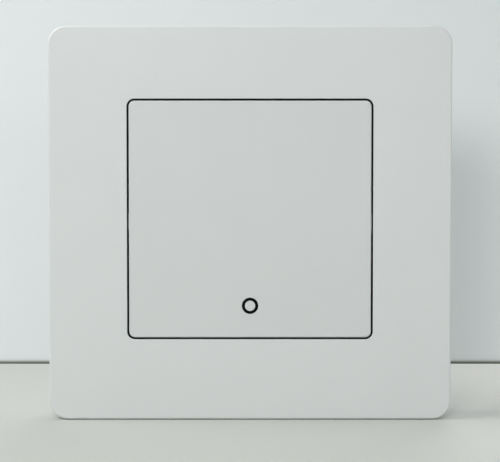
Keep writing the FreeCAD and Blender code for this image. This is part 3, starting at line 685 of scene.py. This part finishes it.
def make_thread():
    """A closed helical ridge round the screw's core."""
    thread = start_piece("thread")
    root = SCREW_CORE / 2 - THREAD_ROOT
    crest = SCREW_DIAMETER / 2
    ridge = SCREW_PITCH * THREAD_SHARE
    middle = spot((root + crest) / 2, HEAD_FRONT + SCREW_PITCH, 0)
    bpy.ops.mesh.primitive_circle_add(vertices=3, radius=ridge, fill_type="NGON", location=middle)
    bpy.ops.transform.rotate(value=-math.pi / 2, orient_axis="Z", center_override=middle)
    # A triangle is one and a half times as long as its radius
    reach = (crest - root) / (1.5 * ridge)
    bpy.ops.transform.resize(value=(reach, 1, 1), center_override=middle)
    # The start is turned so that no edge of the ridge runs along an edge of the core
    bpy.ops.transform.rotate(value=THREAD_START, orient_axis="Y", center_override=(0, 0, 0))
    bpy.ops.object.mode_set(mode="OBJECT")
    turn = thread.modifiers.new("turn", "SCREW")
    turn.axis = "Y"
    turn.screw_offset = -SCREW_PITCH
    turn.iterations = SCREW_TURNS
    turn.steps = turn.render_steps = THREAD_STEPS
    bpy.ops.object.modifier_apply(modifier=turn.name)
    open_piece(thread)
    bpy.ops.mesh.select_all(action="SELECT")
    bpy.ops.mesh.remove_doubles(threshold=NEAR)
    bpy.ops.mesh.fill_holes(sides=3)
    close_piece()
    return thread


def copy_screw(pattern, number, place):
    """One of the four screws, moved to its place."""
    activate(pattern)
    bpy.ops.object.duplicate()
    made = bpy.context.object
    made.name = f"case_screw_{number}"
    made.data.name = made.name
    open_piece(made)
    bpy.ops.mesh.select_all(action="SELECT")
    bpy.ops.transform.translate(value=spot(place[0], 0.0, place[1]))
    bpy.ops.object.mode_set(mode="OBJECT")
    return made


def dome_rings(radius, hub):
    """Rings down a round cap, from near its crown to its foot."""
    spread = math.acos((DOME_FOOT - hub) / radius)
    for step in range(1, DOME_STEPS + 1):
        angle = spread * step / DOME_STEPS
        yield disc(2 * radius * math.sin(angle), DOME.x, DOME.z), hub + radius * math.cos(angle)


def make_dome():
    """The thin round cap that springs the push switch."""
    piece = start_piece("spring_dome")
    rise = DOME_CROWN - DOME_FOOT
    radius = (DOME.width ** 2 / 4 + rise ** 2) / (2 * rise)
    hub = DOME_CROWN - radius
    inside = list(dome_rings(radius - DOME_SHEET, hub))
    draw_stack(*dome_rings(radius, hub), *reversed(inside))
    close_piece()
    return piece


# Finishes


class Wire:
    """A node's output that takes part in sums: each operator adds a Math node."""

    def __init__(self, look, socket):
        self.look = look
        self.socket = socket

    def math(self, operation, first, second=0.0):
        return self.look.node("ShaderNodeMath", {"operation": operation}, {0: first, 1: second})

    def __add__(self, other):
        return self.math("ADD", self, other)

    def __sub__(self, other):
        return self.math("SUBTRACT", self, other)

    def __rsub__(self, other):
        return self.math("SUBTRACT", other, self)

    def __mul__(self, other):
        return self.math("MULTIPLY", self, other)

    def __truediv__(self, other):
        return self.math("DIVIDE", self, other)

    def __pow__(self, other):
        return self.math("POWER", self, other)

    def __lt__(self, other):
        return self.math("LESS_THAN", self, other)

    def __gt__(self, other):
        return self.math("GREATER_THAN", self, other)

    def __abs__(self):
        return self.math("ABSOLUTE", self)

    def __floor__(self):
        return self.math("FLOOR", self)

    def __mod__(self, other):
        return self.math("FLOORED_MODULO", self, other)

    __radd__ = __add__
    __rmul__ = __mul__

    def part(self, name):
        """Another output of the same node."""
        return Wire(self.look, self.socket.node.outputs[name])


class Look:
    """Nodes that are built up one by one round one shader, of a finish or of the studio's light."""

    def __init__(self, holder, shader, **settings):
        holder.use_nodes = True
        self.holder = holder
        self.tree = holder.node_tree
        self.shader = self.tree.nodes[shader]
        self.set(**settings)

    def node(self, kind, settings=None, sockets=None):
        """Adds a node and gives its first output."""
        made = self.tree.nodes.new(kind)
        for name, value in (settings or {}).items():
            setattr(made, name, value)
        for name, value in (sockets or {}).items():
            self.feed(made.inputs[name], value)
        return Wire(self, made.outputs[0])

    def feed(self, socket, value):
        """Links an output to an input, or gives the input a fixed value."""
        if isinstance(value, Wire):
            self.tree.links.new(value.socket, socket)
        else:
            socket.default_value = value

    def set(self, **sockets):
        """Feeds inputs of the shader, whose names have underscores for spaces here."""
        for name, value in sockets.items():
            self.feed(self.shader.inputs[name.replace("_", " ")], value)

    def show(self, share, other):
        """Lets another shader take over where the share is 1."""
        output = next(node for node in self.tree.nodes if node.type.startswith("OUTPUT"))
        surface = output.inputs["Surface"]
        so_far = Wire(self, surface.links[0].from_socket)
        self.feed(surface, self.node("ShaderNodeMixShader", None, {0: share, 1: so_far, 2: other}))

    def in_view(self):
        """1 for what is seen, straight or in a mirror or glass, and 0 for what lights other things."""
        ray = self.node("ShaderNodeLightPath")
        return ray + ray.part("Is Glossy Ray") + ray.part("Is Transmission Ray")

    def place(self):
        """Where a point of the surface is, in metres."""
        return self.node("ShaderNodeTexCoord").part("Object")

    def axes(self):
        """The same, as separate lengths in millimetres: across, out of the wall and up."""
        split = self.node("ShaderNodeSeparateXYZ", None, {"Vector": self.place()})
        return split * (1 / MM), split.part("Y") * (-1 / MM), split.part("Z") * (1 / MM)

    def grain(self, size, detail=2.0, stretch=(1, 1, 1)):
        """Soft noise from 0 to 1 whose clumps are about one size, in millimetres."""
        spread = self.node("ShaderNodeMapping", None, {"Vector": self.place(), "Scale": stretch})
        sockets = {"Vector": spread, "Scale": 1 / (size * MM), "Detail": detail}
        return self.node("ShaderNodeTexNoise", None, sockets)

    def blend(self, share, first, second):
        """One colour where the share is 0 and another where it is 1."""
        made = self.node("ShaderNodeMix", {"data_type": "RGBA"}, {0: share, 6: first, 7: second})
        return made.part(2)

    def relief(self, height, depth):
        """A bump from a height of 0 to 1 that stands for a depth in millimetres."""
        sockets = {"Height": height, "Distance": depth * MM, "Strength": 1.0}
        return self.node("ShaderNodeBump", None, sockets)


def finish(name, **settings):
    """A new finish, still without a pattern."""
    return Look(bpy.data.materials.new(name), "Principled BSDF", **settings)


def tone(red, green, blue):
    """A colour as a screen shows it, 0 to 255, as the light values of a shader."""
    values = []
    for part in (red, green, blue):
        share = part / 255
        values.append(share / 12.92 if share <= 0.04045 else ((share + 0.055) / 1.055) ** 2.4)
    return (*values, 1.0)


def scaled(colour, share):
    """A colour made darker or lighter."""
    return tuple(part * share for part in colour[:3]) + (1.0,)


# Moulded plastic: sizes of its grain, how far dark plastic varies in tone, and the tone of the shade
# painted inside the gap
DRIFT_SIZE = 18.0
SPECK_SIZE = 0.45
RIPPLE_SIZE = 2.2
DARK_UNEVENNESS = 0.12
GAP_SHADE_TONE = tone(34, 35, 35)

# Board: its lines each way, the share of a pitch that a line fills, the share left out, its dots,
# its glass weave and the thickness of its resist
TRACK_PITCH = 1.7
TRACK_RUN = 7.0
CROSS_PITCH = 2.3
CROSS_RUN = 9.0
TRACK_SHARE = 0.22
TRACKS_LEFT_OUT = 0.45
ROW_SEED = 7.31
RUN_SEED = 3.17
DOT_SPACING = 2.6
DOT_SHARE = 0.14
WEAVE_SIZE = 0.5
RESIST = 0.015

# Small parts: lengths of the bodies between metal ends, and where one finish ends and the next begins
CHIP_BODY = 3.92
SMALL_BODY = 1.2
LATHE_LINES = 5.0
GASKET_LEVEL = 0.4
GASKET_WIDTH = 0.1
LIGHT_CUP = 2.24
LIGHT_CUP_FLOOR = 0.5
CRYSTAL_BASE = 0.6
FOAM_CELL = 0.28


def moulded(name, colour, dull=0.38, texture=0.012, unevenness=0.03, sheen=0.45, shade_the_gap=False):
    """Satin moulded plastic: fine spark-eroded grain over a faint drift of tone."""
    look = finish(name, IOR=1.48, Specular_IOR_Level=sheen)
    drift = look.grain(DRIFT_SIZE, detail=3.0)
    speck = look.grain(SPECK_SIZE, detail=3.0)
    share = drift * 0.7 + speck * 0.3
    shown = look.blend(share, scaled(colour, 1 - unevenness), scaled(colour, 1 + unevenness))
    # Painted shade: the walls of the gap round the key are darkened below their soft edges
    if shade_the_gap:
        shown = look.blend(gap_shade_share(look), shown, GAP_SHADE_TONE)
    look.set(
        Base_Color=shown,
        Roughness=dull + 0.10 * (speck - 0.5) + 0.05 * (drift - 0.5),
        Normal=look.relief(speck * 0.8 + look.grain(RIPPLE_SIZE) * 0.2, texture),
    )
    return look.holder


def dark_plastic(name, colour, **settings):
    """Moulded plastic whose dark tone varies more."""
    return moulded(name, colour, unevenness=DARK_UNEVENNESS, **settings)


def gap_shade_share(look):
    """1 where shade is painted on the walls of the gap round the key, below their soft edges, and 0
    elsewhere.
    """
    across, level, up = look.axes()
    reach = grown(OPENING, GAP_SHADE_MARGIN)
    beside = (abs(across - reach.x) < reach.width / 2) * (abs(up - reach.z) < reach.height / 2)
    return beside * (level < FACE - GAP_SHADE_DEPTH)


def brushed(name, colour, dull, stretch, size=0.4):
    """Metal with fine rolling or brushing lines."""
    look = finish(name, Metallic=1.0)
    lines = look.grain(size, detail=4.0, stretch=stretch)
    cloud = look.grain(3.0, detail=2.0)
    look.set(
        Base_Color=look.blend(lines * 0.6 + cloud * 0.4, scaled(colour, 0.86), scaled(colour, 1.08)),
        Roughness=dull + 0.16 * (lines - 0.5) + 0.08 * (cloud - 0.5),
        Normal=look.relief(lines, depth=0.004),
    )
    return look.holder


def chip_finish(name, body, middle, half, metal):
    """A black or tan body between bright metal ends, told apart by the distance from its middle."""
    look = finish(name)
    across = look.axes()[0]
    ends = abs(abs(across) - middle) > half
    speck = look.grain(0.12, detail=3.0)
    plain = look.blend(speck, scaled(body, 0.85), scaled(body, 1.15))
    look.set(
        Base_Color=look.blend(ends, plain, metal),
        Metallic=ends,
        Roughness=0.55 - 0.2 * ends + 0.15 * (speck - 0.5),
        Normal=look.relief(speck, depth=0.006),
    )
    return look.holder


def board_finish(name):
    """Green solder resist over paler tracks, with bare copper dots and the glass weave's ripple."""
    look = finish(name, IOR=1.5)
    across, level, up = look.axes()
    track = track_lines(look, across, up, TRACK_PITCH, TRACK_RUN)
    cross = track_lines(look, up, across, CROSS_PITCH, CROSS_RUN)
    lines = track + cross - track * cross
    cells = look.node(
        "ShaderNodeTexVoronoi", {"voronoi_dimensions": "3D"},
        {"Vector": look.place(), "Scale": 1 / (DOT_SPACING * MM), "Randomness": 0.7},
    )
    dots = cells < DOT_SHARE
    weave = look.grain(WEAVE_SIZE, detail=1.0, stretch=(1, 1, 3)) * 0.5
    weave += look.grain(WEAVE_SIZE, detail=1.0, stretch=(3, 1, 1)) * 0.5
    resist = look.blend(weave, tone(14, 70, 40), tone(20, 86, 50))
    covered = look.blend(lines, resist, tone(36, 112, 66))
    edge = abs(level - (BOARD_BACK + BOARD_FRONT) / 2) < (BOARD_FRONT - BOARD_BACK) / 2 - RESIST
    faces = look.blend(dots, covered, tone(214, 170, 96))
    look.set(
        Base_Color=look.blend(edge, faces, tone(150, 148, 96)),
        Metallic=dots * (1 - edge),
        Roughness=0.34 + 0.2 * edge + 0.08 * (weave - 0.5),
        Normal=look.relief(lines * 0.7 + weave * 0.3, depth=0.03),
    )
    return look.holder


def track_lines(look, along, beside, pitch, run):
    """Lines one way across the board, some of them left out run by run."""
    row = math.floor(along / pitch)
    block = math.floor(beside / run)
    seed = {"W": row * ROW_SEED + block * RUN_SEED}
    chance = look.node("ShaderNodeTexWhiteNoise", {"noise_dimensions": "1D"}, seed)
    offset = abs((along / pitch) % 1.0 - 0.5)
    return (offset < TRACK_SHARE / 2) * (chance > TRACKS_LEFT_OUT)


def cell_finish(name):
    """A coin cell: lathe-brushed steel with a dark gasket line between can and cap."""
    look = finish(name)
    across, level, up = look.axes()
    cell = outline_of("coin_cell", 0.0)
    back = levels_of("coin_cell")[0]
    right = across - cell.x
    high = up - cell.z
    radius = (right * right + high * high) ** 0.5
    sockets = {"W": radius, "Scale": LATHE_LINES, "Detail": 4.0}
    rings = look.node("ShaderNodeTexNoise", {"noise_dimensions": "1D"}, sockets)
    gasket = abs(level - back - GASKET_LEVEL) < GASKET_WIDTH / 2
    steel = look.blend(rings, tone(176, 178, 180), tone(206, 208, 210))
    look.set(
        Base_Color=look.blend(gasket, steel, tone(40, 40, 42)),
        Metallic=1 - gasket,
        Roughness=0.26 + 0.14 * (rings - 0.5) + 0.3 * gasket,
        Normal=look.relief(rings, depth=0.003),
    )
    return look.holder


def light_finish(name):
    """A white ceramic light with a yellow phosphor disc in its cup."""
    look = finish(name)
    across, level, up = look.axes()
    light = outline_of("status_led", 0.0)
    right = across - light.x
    high = up - light.z
    radius = (right * right + high * high) ** 0.5
    cup = (radius < LIGHT_CUP / 2) * (level > levels_of("status_led")[0] + LIGHT_CUP_FLOOR)
    speck = look.grain(0.15, detail=2.0)
    white = look.blend(speck, tone(226, 226, 220), tone(242, 242, 238))
    phosphor = look.blend(speck, tone(232, 190, 60), tone(246, 214, 98))
    look.set(
        Base_Color=look.blend(cup, white, phosphor),
        Roughness=0.5 - 0.15 * cup + 0.1 * (speck - 0.5),
        Normal=look.relief(speck, depth=0.008),
    )
    return look.holder


def clear_finish(name):
    """Clear moulded plastic with a slightly drawn surface."""
    look = finish(name, IOR=1.49, Transmission_Weight=1.0)
    flow = look.grain(1.2, detail=2.0, stretch=(1, 0.3, 1))
    look.set(
        Base_Color=look.blend(flow, tone(238, 244, 246), tone(250, 252, 252)),
        Roughness=0.08 + 0.1 * flow,
        Normal=look.relief(flow, depth=0.01),
    )
    return look.holder


def foam_finish(name):
    """Closed-cell foam: small round cells, pale grey."""
    look = finish(name, IOR=1.4, Specular_IOR_Level=0.25)
    cells = look.node(
        "ShaderNodeTexVoronoi", {"feature": "SMOOTH_F1"},
        {"Vector": look.place(), "Scale": 1 / (FOAM_CELL * MM), "Smoothness": 0.4},
    )
    cloud = look.grain(2.5, detail=3.0)
    share = cells * 0.7 + cloud * 0.3
    look.set(
        Base_Color=look.blend(share, tone(206, 207, 204), tone(232, 233, 230)),
        Roughness=0.82 + 0.12 * (cloud - 0.5),
        Normal=look.relief(cells, depth=0.06),
    )
    return look.holder


def liner_finish(name):
    """Coated release paper: faint fibres and a slow ripple."""
    look = finish(name, IOR=1.45, Specular_IOR_Level=0.4)
    fibre = look.grain(0.5, detail=4.0, stretch=(0.25, 1, 1))
    cloud = look.grain(6.0, detail=2.0)
    look.set(
        Base_Color=look.blend(fibre * 0.6 + cloud * 0.4, tone(224, 218, 200), tone(238, 233, 218)),
        Roughness=0.42 + 0.14 * (fibre - 0.5),
        Normal=look.relief(fibre * 0.4 + cloud * 0.6, depth=0.03),
    )
    return look.holder


def crystal_finish(name):
    """A pressed nickel lid on a tan ceramic base."""
    look = finish(name)
    level = look.axes()[1]
    lid = level > levels_of("crystal")[0] + CRYSTAL_BASE
    lines = look.grain(0.2, detail=3.0, stretch=(1, 1, 0.2))
    ceramic = look.blend(lines, tone(120, 96, 62), tone(140, 114, 76))
    nickel = look.blend(lines, tone(176, 172, 160), tone(206, 202, 190))
    look.set(
        Base_Color=look.blend(lid, ceramic, nickel),
        Metallic=lid,
        Roughness=0.6 - 0.28 * lid + 0.1 * (lines - 0.5),
        Normal=look.relief(lines, depth=0.004),
    )
    return look.holder


def finish_parts():
    """Gives every part that keeps its own mesh a finish, and returns the finishes."""
    lane = abs(outline_of("chip_capacitor_1", 0.0).x)
    chip = outline_of("transmitter_chip", 0.0)
    tin = tone(188, 186, 180)
    finishes = {
        "frame_black": dark_plastic("frame_black", tone(34, 35, 37), dull=0.5, texture=0.03),
        "holder_black": dark_plastic("holder_black", tone(28, 28, 30), dull=0.42, texture=0.02),
        "plunger_black": dark_plastic("plunger_black", tone(40, 40, 42), dull=0.35, texture=0.01),
        "board_green": board_finish("board_green"),
        "cell_steel": cell_finish("cell_steel"),
        "spring_steel": brushed("spring_steel", tone(196, 197, 198), dull=0.28, stretch=(0.15, 1, 1)),
        "contact_bronze": brushed("contact_bronze", tone(212, 168, 104), dull=0.3, stretch=(1, 1, 0.15)),
        "coil_copper": brushed(
            "coil_copper", tone(196, 108, 58), dull=0.24, stretch=(1, 1, 0.5), size=0.8
        ),
        "led_white": light_finish("led_white"),
        "guide_clear": clear_finish("guide_clear"),
        "chip_black": chip_finish("chip_black", tone(30, 30, 32), chip.x, CHIP_BODY / 2, tin),
        "crystal_metal": crystal_finish("crystal_metal"),
        "capacitor_tan": chip_finish("capacitor_tan", tone(168, 134, 92), lane, SMALL_BODY / 2, tin),
        "resistor_dark": chip_finish("resistor_dark", tone(26, 26, 30), lane, SMALL_BODY / 2, tin),
    }
    for node in frame["nodes"].values():
        for holder in node.material_slots:
            slot = holder.material.name
            if slot in finishes:
                holder.material = finishes[slot]
    return finishes


# Stage

# Where the photograph has the plate, in its own pixels
PHOTO_WIDTH = 500
PHOTO_HEIGHT = 462
PLATE_PIXELS = 403.3
PLATE_MIDDLE_PIXEL = (250.05, 223.42)
CAMERA_DISTANCE = 300.0
CAMERA_RISE = math.radians(2.0)
SENSOR_WIDTH = 36.0

FLOOR_REACH = 3000.0
# The floor lies a hair below the plate, which leaves a dark line under it
FLOOR_DROP = 0.13
WALL_SETBACK = 76.7
# Painted shade along the foot of the wall, where it meets the floor: half of it is gone at this height
FOOT_SHADE_HEIGHT = 0.8
FOOT_SHADE_SHARPNESS = 4
# Floor and wall fade to the tone of the studio between these distances
FADE_START = 130.0
FADE_END = 420.0
FLOOR_TONE = tone(201, 204, 198)
WALL_TONE = tone(232, 237, 238)
FOOT_SHADE_TONE = tone(104, 105, 95)
STUDIO_TONE = tone(226, 230, 230)
STUDIO_LIGHT = tone(250, 252, 255)
STUDIO_STRENGTH = 0.315

# Round soft lamps, in metres and watts; two of them don't show in shiny surfaces
Lamp = namedtuple("Lamp", "name place size power mirrored")
LAMPS = (
    Lamp("top_lamp", (-0.25, -0.06, 0.33), 0.30, 0.98, True),
    Lamp("front_lamp", (-0.09, -0.45, 0.16), 0.12, 0.60, False),
    Lamp("sheen_lamp", (-0.11, -0.44, 0.18), 0.12, 0.16, True),
    Lamp("fill_lamp", (0.09, -0.45, 0.14), 0.12, 0.12, False),
    Lamp("rear_lamp", (0.12, 0.50, 0.14), 0.40, 1.15, True),
    Lamp("side_lamp", (0.48, 0.16, 0.13), 0.30, 0.42, True),
)


def make_camera():
    """Looks at the plate from the front and a little above, as the photograph does."""
    pixel = PLATE.width / PLATE_PIXELS
    target = spot(PLATE.x, FACE, PLATE.z) * MM
    back = Vector((0, -math.cos(CAMERA_RISE), math.sin(CAMERA_RISE)))
    up = Vector((0, math.sin(CAMERA_RISE), math.cos(CAMERA_RISE)))
    right = (PHOTO_WIDTH / 2 - PLATE_MIDDLE_PIXEL[0]) * pixel
    down = (PHOTO_HEIGHT / 2 - PLATE_MIDDLE_PIXEL[1]) * pixel
    aim = target + (Vector((right, 0, 0)) - up * down) * MM
    bpy.ops.object.camera_add(location=target + back * CAMERA_DISTANCE * MM)
    camera = bpy.context.object
    camera.rotation_euler = (aim - camera.location).to_track_quat("-Z", "Y").to_euler()
    camera.data.sensor_width = SENSOR_WIDTH
    camera.data.lens = SENSOR_WIDTH * CAMERA_DISTANCE / (PHOTO_WIDTH * pixel)
    bpy.context.scene.camera = camera


def stage_finish(name, colour, shade_the_foot=False):
    """Matt paint that fades to the studio's tone far away, on a wall with painted shade along its foot.
    """
    look = finish(name, Specular_IOR_Level=0.2)
    cloud = look.grain(60.0, detail=3.0)
    speck = look.grain(1.5, detail=3.0)
    shown = look.blend(cloud * 0.6 + speck * 0.4, scaled(colour, 0.985), scaled(colour, 1.015))
    across, along, _ = look.axes()
    if shade_the_foot:
        # Painted shade: the wall darkens towards the corner where it meets the floor
        along = FLOOR_REACH - along
        joint = (1 + (along / FOOT_SHADE_HEIGHT) ** FOOT_SHADE_SHARPNESS) ** -1
        shown = look.blend(joint, shown, FOOT_SHADE_TONE)
    look.set(Base_Color=shown, Roughness=0.75 + 0.1 * (speck - 0.5))
    reach = (across * across + along * along) ** 0.5
    sockets = {"Value": reach, "From Min": FADE_START, "From Max": FADE_END}
    far = look.node("ShaderNodeMapRange", {"interpolation_type": "SMOOTHSTEP"}, sockets)
    look.show(far * look.in_view(), look.node("ShaderNodeEmission", None, {"Color": STUDIO_TONE}))
    return look


def make_stage():
    """A pale floor under the plate, and a pale wall that shows only from its front."""
    foot = PLATE.z - PLATE.height / 2 - FLOOR_DROP
    bpy.ops.mesh.primitive_plane_add(size=2 * FLOOR_REACH * MM, location=spot(0, 0, foot) * MM)
    floor = bpy.context.object
    floor.name = "floor"
    floor.data.materials.append(stage_finish("floor_paint", FLOOR_TONE).holder)
    middle = spot(0, -WALL_SETBACK, foot + FLOOR_REACH) * MM
    bpy.ops.mesh.primitive_plane_add(size=2 * FLOOR_REACH * MM, location=middle, rotation=FACE_TURN)
    wall = bpy.context.object
    wall.name = "wall"
    look = stage_finish("wall_paint", WALL_TONE, shade_the_foot=True)
    behind = look.node("ShaderNodeNewGeometry").part("Backfacing")
    look.show(behind, look.node("ShaderNodeBsdfTransparent"))
    wall.data.materials.append(look.holder)
    wall.visible_shadow = False
    wall.visible_diffuse = False


def make_lamp(lamp):
    """A round soft lamp that points at the middle of the switch."""
    bpy.ops.object.light_add(type="AREA", location=lamp.place)
    made = bpy.context.object
    made.name = lamp.name
    made.data.shape = "DISK"
    made.data.size = lamp.size
    made.data.energy = lamp.power
    made.visible_glossy = lamp.mirrored
    target = spot(PLATE.x, FACE / 2, PLATE.z) * MM
    made.rotation_euler = (target - made.location).to_track_quat("-Z", "Y").to_euler()


def make_light():
    """Even soft light all round, soft lamps above and in front, and weaker ones behind and beside."""
    world = bpy.data.worlds.new("studio")
    studio = Look(world, "Background", Color=STUDIO_LIGHT, Strength=STUDIO_STRENGTH)
    studio.show(studio.in_view(), studio.node("ShaderNodeBackground", None, {"Color": STUDIO_TONE}))
    bpy.context.scene.world = world
    for lamp in LAMPS:
        make_lamp(lamp)


def build():
    """Makes every piece with its finish, and gives the other parts theirs."""
    white = moulded("cover_white", tone(218, 221, 220), shade_the_gap=True)
    key_white = moulded("key_white", tone(213, 216, 215), shade_the_gap=True)
    base_white = moulded("base_white", tone(210, 214, 212), dull=0.52, texture=0.02)
    ring_black = dark_plastic("ring_black", tone(4, 4, 5), dull=0.5, texture=0.006, sheen=0.1)
    steel = brushed("screw_steel", tone(186, 187, 190), dull=0.3, stretch=(1, 1, 1), size=0.25)
    foam = foam_finish("pad_foam")
    paper = liner_finish("pad_liner")
    for piece, body, node, slot, look in (
        (make_cover(), "root", "cover_plate", "cover_white", white),
        (make_key(), "key", "push_key", "key_white", key_white),
        (make_ring(), "key", "indicator_ring", "ring_black", ring_black),
        (make_base(), "root", "base_housing", "base_white", base_white),
    ):
        place_piece(piece, body, node, slot, look)
    for node in PADS:
        pad = make_pad(node)
        place_piece(pad, "root", node, "pad_foam", foam)
        place_piece(make_liner(node), "root", node, "pad_foam", paper)
    pattern = make_screw()
    for number, place in enumerate(SCREW_PLACES, 1):
        place_piece(copy_screw(pattern, number, place), "root", "case_screws", "screw_steel", steel)
    bpy.data.objects.remove(pattern)
    finishes = finish_parts()
    dome = make_dome()
    place_piece(dome, "root", "tact_dome", "spring_steel", finishes["spring_steel"])
    foot = spot(DOME.x, DOME_FOOT, DOME.z) * MM
    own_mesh(dome)


build()
make_stage()
make_light()
make_camera()
bpy.context.scene.view_settings.view_transform = "Standard"
